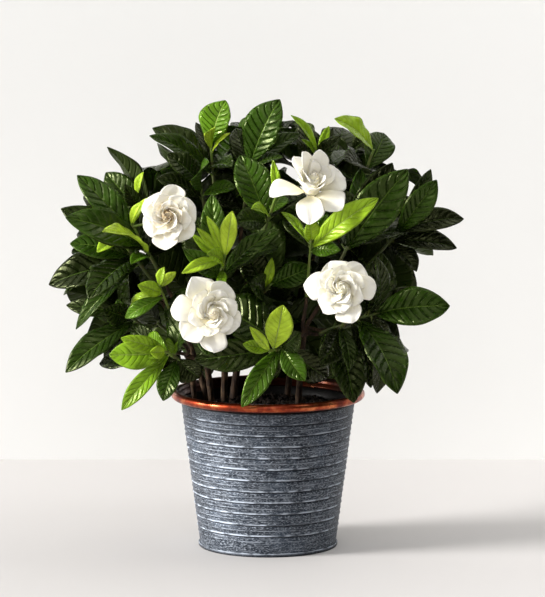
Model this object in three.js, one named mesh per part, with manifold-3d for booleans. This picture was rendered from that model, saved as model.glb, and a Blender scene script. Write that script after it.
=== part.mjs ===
// A gardenia shrub with four open double blooms, in a ribbed zinc pot with a rolled copper rim.
// Millimetres, +Z up. The origin is the centre of the pot's underside and the front of the plant
// faces -Y. Leaves and blooms on the front are placed where the photo shows them: each point of the
// plan is (across, down) in pixels of the picture and a depth in millimetres along +Y.
import * as THREE from 'three';
import { mergeVertices } from 'three/addons/utils/BufferGeometryUtils.js';
import Module from 'manifold-3d';

const wasm = await Module();
wasm.setup();

// Clearance between two pieces that touch.
const GAP = 0.35;
const HALF_GAP = GAP / 2;

// Pot
const POT_SIDES = 30;
const BASE_RADIUS = 59.4;
const BODY_TOP_RADIUS = 76.1;
const BODY_TOP = 128;
const WALL_TOP = 129;
const WALL = 1.2;
const FLOOR = 1.6;
const RIB_COUNT = 11;
const RIB_FIRST = 18;
const RIB_PITCH = 10;
const RIB_DEPTH = 0.9;
const RIB_HALF = 0.9;
const FOOT_CHAMFER = 0.8;
const FLOOR_CORNER = 2;
const BEAD_RADIUS = 3.8;
const BEAD_CENTRE = 81.2;
const BEAD_HEIGHT = 134.3;
const BEAD_STEPS = 8;
const BEAD_START = THREE.MathUtils.degToRad(-125);
const BEAD_SWEEP = THREE.MathUtils.degToRad(305);
const RIM_INSET = 1.4;
const RIM_LEDGE = 0.6;
const BASE_BAND_HEIGHT = 3.2;
const BASE_BAND_THICK = 1.1;
const BASE_BAND_ROUND = 0.4;

// Soil
const SOIL_EDGE = 120;
const SOIL_CROWN = 127;
const SOIL_MOUND = [[55, 123.5], [30, 126.2]];
const SOIL_SLACK = 1;
const HOLE_DEPTH = 24;
const HOLE_SLACK = 0.8;
const HOLE_SIDES = 10;
const HOLE_LENGTH = 64;

// Camera that the plan was read with
const FOCAL = 4040;
const MIDDLE_ACROSS = 272.5;
const MIDDLE_DOWN = 298.5;
const PITCH = THREE.MathUtils.degToRad(7.93);
const EYE = new THREE.Vector3(4, -3500, 706);

// Leaves, twigs and stems
const BUSH_CENTRE = new THREE.Vector3(-8, 10, 230);
const BLADE_THICK = 1.3;
const BLADE_BOW = 0.1;
const WIDE_BLADE = 17;
const NARROW_BLADE = 10;
const TWIG_LENGTH = 44;
const TWIG_SHARE = 0.6;
const TWIG_ARC = 1.2;
const TWIG_SIDES = 4;
const TWIG_RADIUS = 1.6;
const TWIG_TIP_RADIUS = 1.25;
const YOUNG_RADIUS = 1.25;
const YOUNG_LENGTH = 15;
const STEM_SIDES = 6;
const BRANCH_SIDES = 4;
const BRANCH_RADII = [2, 2, 1.9, 1.7];
const STALK_RADII = [1, 1.3, 1.6, 3];
const STALK_NECK = 7;
const UP = new THREE.Vector3(0, 0, 1);
const TOWARDS_VIEWER = new THREE.Vector3(0, -1, 0);
const AWAY = new THREE.Vector3(0, 1, 0);

const group = new THREE.Group();
group.name = 'potted_gardenia';

// A point of the picture at a given depth, in the part's own frame.
function seen(across, down, depth) {
  const right = (across - MIDDLE_ACROSS) / FOCAL;
  const drop = (down - MIDDLE_DOWN) / FOCAL;
  const forward = Math.cos(PITCH) - drop * Math.sin(PITCH);
  const fall = Math.sin(PITCH) + drop * Math.cos(PITCH);
  const reach = (depth - EYE.y) / forward;
  return new THREE.Vector3(EYE.x + right * reach, depth, EYE.z - fall * reach);
}

// Park-Miller draws, so that the plant always grows alike.
let seed = 20117;
function draw() {
  seed = (seed * 16807) % 2147483647;
  return seed / 2147483647;
}
function between(low, high) {
  return low + (high - low) * draw();
}

function solidOf(points, triangles) {
  const vertProperties = new Float32Array(points.length * 3);
  points.forEach((p, i) => vertProperties.set([p.x, p.y, p.z], 3 * i));
  const mesh = new wasm.Mesh({ numProp: 3, vertProperties, triVerts: new Uint32Array(triangles) });
  return new wasm.Manifold(mesh);
}

// Points closer than this are one point.
const WELD = 1e-3;

function solidFrom(geometry) {
  const bare = new THREE.BufferGeometry();
  bare.setAttribute('position', geometry.getAttribute('position'));
  bare.setIndex(geometry.getIndex());
  const merged = mergeVertices(bare, WELD);
  const at = merged.getAttribute('position');
  const points = [];
  for (let i = 0; i < at.count; i += 1) {
    points.push(new THREE.Vector3().fromBufferAttribute(at, i));
  }
  const index = merged.getIndex().array;
  const triangles = [];
  for (let i = 0; i < index.length; i += 3) {
    const [a, b, c] = [index[i], index[i + 1], index[i + 2]];
    if (a !== b && b !== c && c !== a) {
      triangles.push(a, b, c);
    }
  }
  return solidOf(points, triangles);
}

// A body of revolution about Z from a profile of [radius, height] pairs.
function turned(profile, sides = POT_SIDES) {
  const lathe = new THREE.LatheGeometry(profile.map(([r, z]) => new THREE.Vector2(r, z)), sides);
  lathe.rotateX(Math.PI / 2);
  const body = solidFrom(lathe);
  return body.volume() > 0 ? body : flipped(lathe);
}

function flipped(geometry) {
  const index = geometry.getIndex();
  for (let i = 0; i < index.count; i += 3) {
    const b = index.getX(i + 1);
    index.setX(i + 1, index.getX(i + 2));
    index.setX(i + 2, b);
  }
  return solidFrom(geometry);
}

function geometryOf(body) {
  const mesh = body.getMesh();
  const geometry = new THREE.BufferGeometry();
  geometry.setAttribute('position', new THREE.BufferAttribute(new Float32Array(mesh.vertProperties), 3));
  geometry.setIndex(new THREE.BufferAttribute(new Uint32Array(mesh.triVerts), 1));
  return geometry;
}

// Whether each edge of a body has exactly two triangles once close points are one.
function isPaired(body) {
  const { vertProperties, triVerts } = body.getMesh();
  const keys = new Map();
  const nameOf = (v) => {
    const key = [0, 1, 2].map((k) => Math.round(vertProperties[3 * v + k] / WELD)).join();
    if (!keys.has(key)) {
      keys.set(key, keys.size);
    }
    return keys.get(key);
  };
  const edges = new Map();
  for (let i = 0; i < triVerts.length; i += 3) {
    const corners = [0, 1, 2].map((k) => nameOf(triVerts[i + k]));
    if (new Set(corners).size < 3) {
      return false;
    }
    corners.forEach((a, k) => {
      const b = corners[(k + 1) % 3];
      const key = Math.min(a, b) * 1e6 + Math.max(a, b);
      edges.set(key, (edges.get(key) ?? 0) + 1);
    });
  }
  return [...edges.values()].every((count) => count === 2);
}

// The union of two bodies as one sound body, or null: sealed hollows are filled on the way.
function joined(before, body) {
  if (!before) {
    return body;
  }
  const parts = before.add(body).decompose();
  const solids = parts.filter((part) => part.volume() > 0);
  if (solids.length !== 1) {
    return null;
  }
  return isPaired(solids[0]) ? solids[0] : null;
}

function addMesh(name, body, color, roughness, metalness) {
  const flat = geometryOf(body).toNonIndexed();
  flat.computeVertexNormals();
  const part = new THREE.Mesh(flat, new THREE.MeshStandardMaterial({ color, roughness, metalness }));
  part.name = name;
  group.add(part);
}

// Rings of points, all of the same count, joined into a closed skin with flat ends, or with a
// pointed end where the last entry is a single point. The diagonals of neighbouring faces mirror
// each other, so the two sides of a thin twisted blade keep apart.
function skinned(rings) {
  const points = [];
  const triangles = [];
  const count = rings[0].length;
  rings.forEach((ring) => points.push(...ring));
  for (let k = 0; k + 1 < rings.length; k += 1) {
    const low = k * count;
    const high = low + count;
    const pointed = rings[k + 1].length === 1;
    for (let i = 0; i < count; i += 1) {
      const j = (i + 1) % count;
      if (pointed) {
        triangles.push(low + i, low + j, high);
      } else if (i % 2 === 0) {
        triangles.push(low + i, low + j, high + j, low + i, high + j, high + i);
      } else {
        triangles.push(low + i, low + j, high + i, low + j, high + j, high + i);
      }
    }
  }
  for (let i = 1; i + 1 < count; i += 1) {
    triangles.push(0, i + 1, i);
  }
  if (rings.at(-1).length > 1) {
    const start = points.length - count;
    for (let i = 1; i + 1 < count; i += 1) {
      triangles.push(start, start + i, start + i + 1);
    }
  }
  return solidOf(points, triangles);
}

// Rings of a tube through points, with one radius for each and flat ends square to the first and
// last way.
function tubeRings(path, radii, sides, startWay, endWay) {
  const ways = path.map((p, i) => {
    if (i === 0 && startWay) {
      return startWay;
    }
    if (i === path.length - 1 && endWay) {
      return endWay;
    }
    const before = path[Math.max(i - 1, 0)];
    const after = path[Math.min(i + 1, path.length - 1)];
    return after.clone().sub(before).normalize();
  });
  let across = new THREE.Vector3(1, 0, 0).cross(ways[0]);
  if (across.length() < 0.3) {
    across = new THREE.Vector3(0, 1, 0).cross(ways[0]);
  }
  across.normalize();
  return path.map((p, i) => {
    across = across.clone().addScaledVector(ways[i], -across.dot(ways[i])).normalize();
    const other = ways[i].clone().cross(across);
    return Array.from({ length: sides }, (_, k) => {
      const turn = (2 * Math.PI * k) / sides;
      return p.clone()
        .addScaledVector(across, radii[i] * Math.cos(turn))
        .addScaledVector(other, radii[i] * Math.sin(turn));
    });
  });
}

// The four-cornered faces between two rings, each from the corner where its diagonal starts, and the
// outward way of a face.
function facesBetween(low, high) {
  return low.map((p, i) => {
    const j = (i + 1) % low.length;
    return i % 2 === 0 ? [p, low[j], high[j], high[i]] : [low[j], high[j], high[i], p];
  });
}
// The faces of a tube from its ring number first on, with the row that each stands in.
function facesFromRow(rings, first) {
  const faces = [];
  for (let k = first; k + 1 < rings.length; k += 1) {
    facesBetween(rings[k], rings[k + 1]).forEach((face) => faces.push({ face, row: k - first, used: false }));
  }
  return faces;
}
function faceMiddle(face) {
  return face.reduce((sum, p) => sum.add(p), new THREE.Vector3()).divideScalar(face.length);
}
function faceWay(face) {
  const one = face[2].clone().sub(face[0]);
  const other = face[3].clone().sub(face[1]);
  return one.cross(other).normalize();
}

// A blade or petal that grows out of a face: its rings turn so that corners meet the nearest points.
function grownFrom(face, rings) {
  const first = rings[0];
  const apart = (k) => face.reduce((sum, p, i) => sum + p.distanceTo(first[(i + k) % 4]), 0);
  const cost = [0, 1, 2, 3].map(apart);
  const turn = cost.indexOf(Math.min(...cost));
  const rotated = (ring) => ring.map((_, i) => ring[(i + turn) % ring.length]);
  return skinned([face, ...rings.map((ring) => (ring.length === face.length ? rotated(ring) : ring))]);
}

// Half-width of a blade along its length, as a share of its greatest half-width: narrow at the
// stalk, widest past the middle, and pointed.
function bladeProfile(t) {
  return Math.sin(Math.PI * t ** 1.2);
}

const LARGE_RINGS = [0.13, 0.36, 0.62, 0.86];
const MIDDLE_RINGS = [0.18, 0.5, 0.82];
const SMALL_RINGS = [0.27, 0.67];
const EDGE_LIFT = [0.3, 0.2, 0.34, 0.22];
// The leaves placed by rule, which stand behind the others, have fewer rings.
const RULE_RINGS = [0.3, 0.7];
const RULE_LIFT = [0.3, 0.28];

// The solid of one leaf: a ridge of points on the upper side and one on the lower side, with both
// edges between them raised, along a bowed midline.
function bladeRings(leaf) {
  const chord = leaf.tip.clone().sub(leaf.base);
  const length = chord.length();
  const way = chord.clone().normalize();
  const upper = leaf.upper.clone().addScaledVector(way, -leaf.upper.dot(way)).normalize();
  upper.applyAxisAngle(way, leaf.roll);
  const side = way.clone().cross(upper);
  let at = SMALL_RINGS;
  if (leaf.byRule) {
    at = RULE_RINGS;
  } else if (leaf.width >= WIDE_BLADE) {
    at = LARGE_RINGS;
  } else if (leaf.width >= NARROW_BLADE) {
    at = MIDDLE_RINGS;
  }
  const rings = [];
  at.forEach((t, i) => {
    const half = 0.5 * leaf.width * bladeProfile(t);
    const middle = leaf.base.clone().addScaledVector(chord, t);
    middle.addScaledVector(upper, leaf.bow * length * 4 * t * (1 - t));
    const lift = half * (leaf.byRule ? RULE_LIFT : EDGE_LIFT)[i];
    rings.push([
      middle.clone().addScaledVector(side, -half).addScaledVector(upper, lift),
      middle.clone().addScaledVector(upper, 0.5 * BLADE_THICK),
      middle.clone().addScaledVector(side, half).addScaledVector(upper, lift),
      middle.clone().addScaledVector(upper, -0.5 * BLADE_THICK),
    ]);
  });
  rings.push([leaf.tip.clone()]);
  return rings;
}

// Everything placed so far, by node, to keep other nodes clear of it.
const placed = [];
function place(node, body) {
  const { min, max } = body.boundingBox();
  placed.push({ node, body, min, max });
}
function boxesMeet(a, b, margin) {
  return [0, 1, 2].every((k) => a.min[k] <= b.max[k] + margin && b.min[k] <= a.max[k] + margin);
}
// Whether a body keeps its distance from every other node.
function isClear(node, body) {
  const box = body.boundingBox();
  return !placed.some((other) => {
    if (other.node === node || !boxesMeet(box, other, GAP)) {
      return false;
    }
    return body.minGap(other.body, GAP) < 0.3;
  });
}
// Whether a body crosses no other of its own node.
function isFree(node, body) {
  const box = body.boundingBox();
  return !placed.some((other) => {
    if (other.node !== node || !boxesMeet(box, other, 0)) {
      return false;
    }
    return body.intersect(other.body).volume() > 1e-5;
  });
}

// Outline of the foliage in the picture, which the leaves placed by rule stay inside.
const OUTLINE = [
  [50, 284], [72, 244], [64, 209], [80, 177], [99, 156], [122, 152], [139, 162], [150, 176], [158, 160], [154, 129], [176, 124], [198, 124],
  [224, 103], [240, 124], [276, 102], [288, 116], [333, 121], [378, 135], [406, 171], [430, 178],
  [428, 205], [460, 220], [453, 246], [424, 262], [418, 290], [446, 304], [404, 328], [406, 370],
  [372, 384], [352, 396], [330, 380], [300, 378], [262, 380], [204, 372], [165, 380], [124, 402],
  [112, 368], [76, 366], [90, 318],
];
function inOutline(point) {
  const toward = point.clone().sub(EYE);
  const ahead = toward.y * Math.cos(PITCH) - toward.z * Math.sin(PITCH);
  const across = MIDDLE_ACROSS + (FOCAL * toward.x) / ahead;
  const down = MIDDLE_DOWN - (FOCAL * (toward.y * Math.sin(PITCH) + toward.z * Math.cos(PITCH))) / ahead;
  let inside = false;
  OUTLINE.forEach(([x1, y1], i) => {
    const [x2, y2] = OUTLINE[(i + 1) % OUTLINE.length];
    if (y1 > down !== y2 > down && across < x1 + ((x2 - x1) * (down - y1)) / (y2 - y1)) {
      inside = !inside;
    }
  });
  return inside;
}

// Ways to bend a leaf clear of its neighbours: how far its tip moves along its free way and
// sideways, in millimetres, and how much the blade rolls, in degrees.
const BENDS = [[0, 0, 0]];
[6, 12, 18, 25, 32].forEach((d) => BENDS.push([d, 0, 0], [-d, 0, 0]));
[18, -18].forEach((roll) => [0, 9, -9, 20, -20].forEach((d) => BENDS.push([d, 0, roll])));
[7, -7].forEach((s) => [0, 8, -8, 18, -18, 30, -30].forEach((d) => BENDS.push([d, s, 0])));
[14, -14].forEach((s) => [0, 10, -10, 22, -22, 36, -36].forEach((d) => BENDS.push([d, s, 0])));
[35, -35].forEach((roll) => [0, 14, -14].forEach((d) => BENDS.push([d, 10, roll], [d, -10, roll])));

function bent(leaf, [along, aside, roll]) {
  const side = leaf.tip.clone().sub(leaf.hub).cross(leaf.free).normalize();
  const tip = leaf.tip.clone().addScaledVector(leaf.free, along).addScaledVector(side, aside);
  return { ...leaf, tip, roll: leaf.roll + THREE.MathUtils.degToRad(roll) };
}

const nodes = new Map();
// Adds a body to its node and says whether it could: a join that isn't sound is left out.
function grow(name, body) {
  const whole = joined(nodes.get(name), body);
  if (whole) {
    nodes.set(name, whole);
    place(name, body);
  }
  return whole !== null;
}

// The free faces of a twig or trunk that look towards a point, the best first.
const FACE_CHOICES = 5;
function facesTowards(faces, point, wantedRow) {
  const choices = [];
  faces.filter((entry) => !entry.used).forEach((entry) => {
    const look = point.clone().sub(faceMiddle(entry.face)).normalize().dot(faceWay(entry.face));
    if (look > 0.05) {
      choices.push({ entry, score: look - 0.1 * Math.abs(entry.row - wantedRow) });
    }
  });
  choices.sort((a, b) => b.score - a.score);
  return choices.slice(0, FACE_CHOICES).map(({ entry }) => entry);
}

// Adds one leaf to its node: the first bend on the best face that is clear of every other node and
// free of its own, or else the first that is clear of the other nodes.
function addLeaf(node, faces, leaf) {
  let second = null;
  const rows = Math.max(...faces.map((entry) => entry.row));
  for (const entry of facesTowards(faces, leaf.tip, leaf.share * rows)) {
    const base = faceMiddle(entry.face);
    for (const bend of BENDS) {
      const turned = { ...bent(leaf, bend), base };
      if (leaf.byRule && (!inOutline(turned.tip) || turned.tip.y < leaf.nearest)) {
        continue;
      }
      const rings = bladeRings(turned);
      if (leaf.byRule && !(inOutline(rings.at(-2)[0]) && inOutline(rings.at(-2)[2]))) {
        continue;
      }
      const body = grownFrom(entry.face, rings);
      if (!isClear(node, body)) {
        continue;
      }
      if (isFree(node, body) && grow(node, body)) {
        entry.used = true;
        return;
      }
      second ??= { body, entry };
    }
  }
  if (second && grow(node, second.body)) {
    second.entry.used = true;
  }
}

// Plan of the front: hub of each shoot, the stem that bears it, the dark leaves of its spray and the
// light leaves of its young tip. A leaf is [across, down, depth of its tip, width in mm, roll in
// degrees]. bearer says which twig of the shoot a bloom's stalk grows from.
const SHOOTS = [
  {
    name: 'upper_left', stem: 'mid_left', hub: [139, 238, -62],
    dark: [
      [103, 231, -100, 22], [131, 263, -75, 14], [61, 208, -60, 27], [66, 217, -85, 30], [98, 152, -92, 30],
      [77, 175, -70, 26], [147, 196, -50, 16],
    ],
    young: [[141, 202, -78, 8], [152, 196, -70, 8]],
    bloom: 'upper_left', bearer: 'young',
  },
  {
    name: 'shoulder_left', stem: 'back_left', hub: [143, 212, -15],
    dark: [[108, 146, -20, 26, 140], [120, 165, 10, 26], [141, 183, -5, 16]],
    young: [[143, 172, -25, 9]],
  },
  {
    name: 'far_left', stem: 'mid_left', hub: [129, 251, -50],
    dark: [[48, 284, -40, 32], [88, 298, -85, 32], [75, 329, -45, 16], [70, 243, -55, 24]],
    young: [[58, 299, -20, 10], [97, 252, -70, 14]],
  },
  {
    name: 'low_left', stem: 'front_left', hub: [125, 313, -30],
    dark: [[65, 372, -48, 25], [66, 305, -21, 16], [104, 309, -51, 22], [118, 299, -71, 12]],
    young: [],
  },
  {
    name: 'foot_left', stem: 'front_left', hub: [172, 356, -72],
    dark: [[163, 401, -70, 20], [200, 378, -60, 24], [130, 325, -40, 22], [176, 333, -80, 16]],
    young: [
      [121, 410, -80, 17], [109, 355, -85, 26], [148, 334, -60, 18], [121, 338, -70, 16],
      [150, 352, -95, 12], [160, 345, -90, 10],
    ],
  },
  {
    name: 'inner_left', stem: 'front_left', hub: [165, 300, -65],
    dark: [],
    young: [
      [125, 318, -60, 14], [138, 285, -80, 14], [141, 298, -90, 12], [140, 320, -75, 12],
      [164, 267, -75, 9], [176, 272, -70, 9],
    ],
  },
  {
    name: 'mid_left', stem: 'front_left', hub: [222, 330, -70],
    dark: [[207, 354, -95, 24], [182, 300, -60, 20], [240, 300, -70, 20]],
    young: [],
    bloom: 'lower_left', bearer: 'dark',
  },
  {
    name: 'mid_front', stem: 'mid_left', hub: [223, 268, -82],
    dark: [[279, 229, -95, 18], [184, 250, -105, 18], [212, 194, -70, 22], [222, 290, -100, 9]],
    young: [
      [208, 254, -115, 16], [182, 273, -110, 12], [232, 211, -90, 15], [197, 228, -85, 8],
      [207, 216, -80, 9], [192, 234, -95, 9],
    ],
  },
  {
    name: 'top_left', stem: 'centre', hub: [212, 162, -5],
    dark: [[153, 127, -5, 28], [150, 135, -25, 22], [232, 166, -40, 22], [196, 122, 20, 12]],
    young: [[225, 100, -5, 32], [214, 127, -20, 12], [230, 133, -20, 8]],
  },
  {
    name: 'high_left', stem: 'centre', hub: [200, 183, -25],
    dark: [[243, 208, 0, 26], [157, 178, -35, 22], [167, 154, -30, 24], [208, 162, -50, 24], [237, 187, -30, 16]],
    young: [],
  },
  {
    name: 'top_centre', stem: 'centre', hub: [250, 165, -15],
    dark: [[279, 99, -20, 36], [236, 128, 10, 22], [300, 133, -10, 20], [283, 157, -30, 14]],
    young: [],
  },
  {
    name: 'high_front', stem: 'centre', hub: [271, 212, -62],
    dark: [[235, 222, -70, 24], [240, 155, -60, 32], [252, 208, -90, 14], [283, 195, -50, 18]],
    young: [[273, 160, -70, 8]],
  },
  {
    name: 'centre_right', stem: 'front_right', hub: [310, 255, -75],
    dark: [],
    young: [
      [340, 250, -90, 16], [285, 215, -55, 22], [378, 198, -95, 22], [310, 219, -95, 15],
      [297, 207, -80, 8], [328, 214, -80, 8],
    ],
    bloom: 'upper_right', bearer: 'young',
  },
  {
    name: 'top_right', stem: 'back_right', hub: [315, 170, 10],
    dark: [[300, 122, 20, 24], [341, 135, -15, 20], [317, 127, 25, 9]],
    young: [[291, 115, 0, 11], [310, 138, -10, 9], [329, 126, 15, 8]],
  },
  {
    name: 'shoulder_right', stem: 'back_right', hub: [368, 165, 5],
    dark: [[345, 160, -40, 30], [384, 133, 14, 27]],
    young: [[335, 118, -10, 24]],
  },
  {
    name: 'high_right', stem: 'front_right', hub: [352, 238, -45],
    dark: [[345, 190, -41, 24], [408, 169, -61, 38], [369, 170, -51, 20], [385, 160, -26, 30]],
    young: [],
  },
  {
    name: 'far_right', stem: 'back_right', hub: [400, 232, 0],
    dark: [
      [417, 271, -15, 22], [457, 248, 0, 22], [464, 218, 5, 22], [431, 169, 10, 18], [437, 180, -5, 24],
      [419, 231, 20, 9],
    ],
    young: [],
  },
  {
    name: 'mid_right', stem: 'front_right', hub: [374, 314, -45],
    dark: [
      [392, 342, -30, 20], [372, 388, -40, 22], [398, 393, -60, 38], [450, 306, -60, 34],
      [421, 291, -30, 24], [381, 252, -55, 34], [362, 262, -65, 20], [378, 394, -35, 26],
    ],
    young: [],
  },
  {
    name: 'low_right', stem: 'front_right', hub: [345, 325, -55],
    dark: [[354, 403, -75, 32], [320, 365, -50, 24], [350, 370, -85, 16], [337, 370, -70, 22]],
    young: [],
    bloom: 'lower_right', bearer: 'dark',
  },
  {
    name: 'foot_centre', stem: 'front_right', hub: [276, 350, -88],
    dark: [
      [194, 360, -85, 28], [242, 407, -100, 20], [305, 381, -95, 20], [300, 332, -100, 22], [328, 378, -50, 26],
      [258, 380, -55, 22],
    ],
    young: [[283, 305, -100, 24], [243, 344, -105, 12], [250, 327, -95, 9]],
  },
  {
    name: 'deep_front', stem: 'centre', hub: [270, 285, -55],
    dark: [[250, 283, -85, 26], [312, 267, -65, 22], [238, 300, -60, 24], [272, 258, -75, 9], [252, 246, -30, 26]],
    young: [],
  },
];

// Plan of the back, which the picture doesn't show: hub in mm, stem, and how many leaves the rule for
// the back draws.
const BACK_SHOOTS = [
  { name: 'back_low_right', stem: 'back_right', hub: [96, 40, 196], byRule: 13 },
  { name: 'back_low_mid_right', stem: 'back_right', hub: [42, 92, 190], byRule: 13 },
  { name: 'back_low_mid_left', stem: 'back_centre', hub: [-56, 92, 192], byRule: 13 },
  { name: 'back_low_left', stem: 'back_left', hub: [-112, 42, 200], byRule: 13 },
  { name: 'back_mid_right', stem: 'back_right', hub: [92, 62, 262], byRule: 13 },
  { name: 'back_mid_centre', stem: 'back_centre', hub: [18, 108, 256], byRule: 13 },
  { name: 'back_mid_left', stem: 'back_centre', hub: [-66, 84, 258], byRule: 13 },
  { name: 'back_far_left', stem: 'back_left', hub: [-124, 34, 264], byRule: 13 },
  { name: 'back_high_right', stem: 'back_right', hub: [56, 56, 322], byRule: 13 },
  { name: 'back_high_centre', stem: 'back_centre', hub: [-8, 64, 326], byRule: 13 },
  { name: 'back_high_left', stem: 'back_left', hub: [-78, 44, 318], byRule: 13 },
  { name: 'inner_low', stem: 'centre', hub: [-2, 2, 196], byRule: 14 },
  { name: 'inner_mid', stem: 'centre', hub: [14, 12, 262], byRule: 14 },
  { name: 'inner_left', stem: 'mid_left', hub: [-62, 6, 232], byRule: 14 },
];

// Woody stems: foot in the soil, the point where the stem forks, and radii there.
const STEMS = {
  mid_left: { foot: seen(212, 399, 5), fork: seen(205, 352, -8), radius: 3.0 },
  centre: { foot: seen(224, 398, 15), fork: seen(226, 345, 6), radius: 3.2 },
  back_centre: { foot: seen(233, 397, 28), fork: seen(240, 350, 36), radius: 3.6 },
  back_left: { foot: seen(207, 393, 28), fork: seen(192, 350, 36), radius: 2.8 },
  front_left: { foot: seen(195, 396, -12), fork: seen(191, 368, -34), radius: 2.4 },
  front_right: { foot: seen(298, 398, -6), fork: seen(303, 340, -30), radius: 3.0 },
  back_right: { foot: seen(287, 395, 30), fork: seen(294, 345, 30), radius: 3.0 },
};

// Blooms: centre of the corolla in the picture, the way that it faces, its size, and for each outer
// petal its direction in degrees from the right, its reach in mm and, where it isn't the usual one,
// its way at the tip in degrees from the axis. Turn, in degrees, sets the receptacle to the petals,
// and inner stands for the usual inner whorls.
const BLOOMS = {
  upper_left: {
    centre: [169, 217, -105], facing: [-0.15, -0.95, 0.25], size: 0.95,
    outer: [[15, 24], [75, 28], [135, 27], [195, 24], [255, 28], [315, 26]],
  },
  upper_right: {
    centre: [312, 186, -90], facing: [0.15, -0.65, 0.75], size: 1,
    outer: [[25, 32, 80], [80, 36, 50], [135, 34, 52], [200, 38, 100], [270, 40, 112], [322, 34, 100]],
    inner: [
      { faces: [0, 1, 2, 3, 4, 5], root: 14, tip: 36, length: 20, width: 18, turn: 8 },
      { faces: [0, 2, 4], root: 8, tip: 20, length: 17, width: 15, turn: 12 },
    ],
  },
  lower_right: {
    centre: [342, 288, -110], facing: [-0.1, -0.97, 0.15], size: 0.97,
    outer: [[357, 29], [45, 26], [108, 25], [170, 33], [225, 27], [280, 31]],
  },
  lower_left: {
    centre: [212, 312, -115], facing: [0.1, -0.98, 0.1], size: 1, turn: 18,
    outer: [[337, 27], [68, 28], [124, 34], [180, 35], [227, 33], [278, 35]],
  },
};
const BLOOM_TUBE = 22;
const CORE_HEIGHT = 8;
const CORE_START = -40;
const TUBE_RADII = [2.2, 2.6];
// The receptacle that the petals grow from is six-sided and turns a little from row to row. Its rings
// are [radius, height above the tube's mouth].
const CORE_SIDES = 6;
const CORE_TURN = 20;
const CORE_RINGS = [[6.2, 0], [8, 3.6], [7, 7.2], [5.6, 10.8]];
const BUD_TIP = 15;
// Whorls of petals from the outside in: the faces that bear one, way at the root and at the tip as
// degrees from the axis, length, width, and how far a petal turns round from its face in degrees.
const OUTER_WHORL = { root: 62, tip: 97, width: 25 };
const INNER_WHORLS = [
  { faces: [0, 1, 2, 3, 4, 5], root: 40, tip: 70, length: 18, width: 20, turn: 8 },
  { faces: [0, 2, 4], root: 18, tip: 40, length: 16, width: 16, turn: 12 },
];
const PETAL_RINGS = [0.35, 0.72, 0.96];
const PETAL_THICK = 1.2;
const PETAL_TWIST = THREE.MathUtils.degToRad(15);
const PETAL_CUP = [0.15, 0.24, 0.2];

// Ways to bend a petal clear of the others: more open and further round, in degrees, and narrower.
const PETAL_BENDS = [
  [0, 0, 1], [7, 0, 1], [-7, 0, 1], [0, 5, 1], [0, -5, 1], [14, 0, 0.95], [-14, 0, 0.95], [7, 8, 0.92],
  [7, -8, 0.92], [-7, 8, 0.92], [-7, -8, 0.92], [20, 0, 0.88], [-20, 0, 0.88], [12, 12, 0.85],
  [12, -12, 0.85], [-12, 12, 0.85], [-12, -12, 0.85], [26, 6, 0.8], [26, -6, 0.8], [0, 0, 0.8],
  [0, 0, 0.72],
];

function petalProfile(v) {
  return Math.sin(0.82 * Math.PI * v);
}

// Rings of one petal, about +Z: its midline leaves the receptacle at the whorl's root way and turns
// evenly to its tip way.
function petalRings(whorl, start, around, length, width) {
  const root = THREE.MathUtils.degToRad(whorl.root);
  const sweep = THREE.MathUtils.degToRad(whorl.tip - whorl.root);
  const out = new THREE.Vector3(Math.cos(around), Math.sin(around), 0);
  const beside = new THREE.Vector3(-Math.sin(around), Math.cos(around), 0);
  return PETAL_RINGS.map((v, i) => {
    const way = root + sweep * v;
    const reach = (length * (Math.cos(root) - Math.cos(way))) / sweep;
    const rise = (length * (Math.sin(way) - Math.sin(root))) / sweep;
    const middle = out.clone().multiplyScalar(start.radius + reach).setZ(start.height + rise);
    const inner = out.clone().multiplyScalar(-Math.cos(way)).setZ(Math.sin(way));
    const [c, s] = [Math.cos(PETAL_TWIST), Math.sin(PETAL_TWIST)];
    const side = beside.clone().multiplyScalar(c).addScaledVector(inner, s);
    const face = inner.clone().multiplyScalar(c).addScaledVector(beside, -s);
    const half = 0.5 * width * petalProfile(v);
    const lift = half * PETAL_CUP[i];
    return [
      middle.clone().addScaledVector(side, half).addScaledVector(face, lift),
      middle.clone().addScaledVector(face, 0.5 * PETAL_THICK),
      middle.clone().addScaledVector(side, -half).addScaledVector(face, lift),
      middle.clone().addScaledVector(face, -0.5 * PETAL_THICK),
    ];
  });
}

// Turns +Z to the given way.
function facing(way) {
  return new THREE.Quaternion().setFromUnitVectors(UP, way);
}

function bloomSeat(key) {
  const { centre, facing: look, size } = BLOOMS[key];
  const way = new THREE.Vector3(...look).normalize();
  return { way, seat: seen(...centre).addScaledVector(way, -BLOOM_TUBE * size), size };
}

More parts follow.
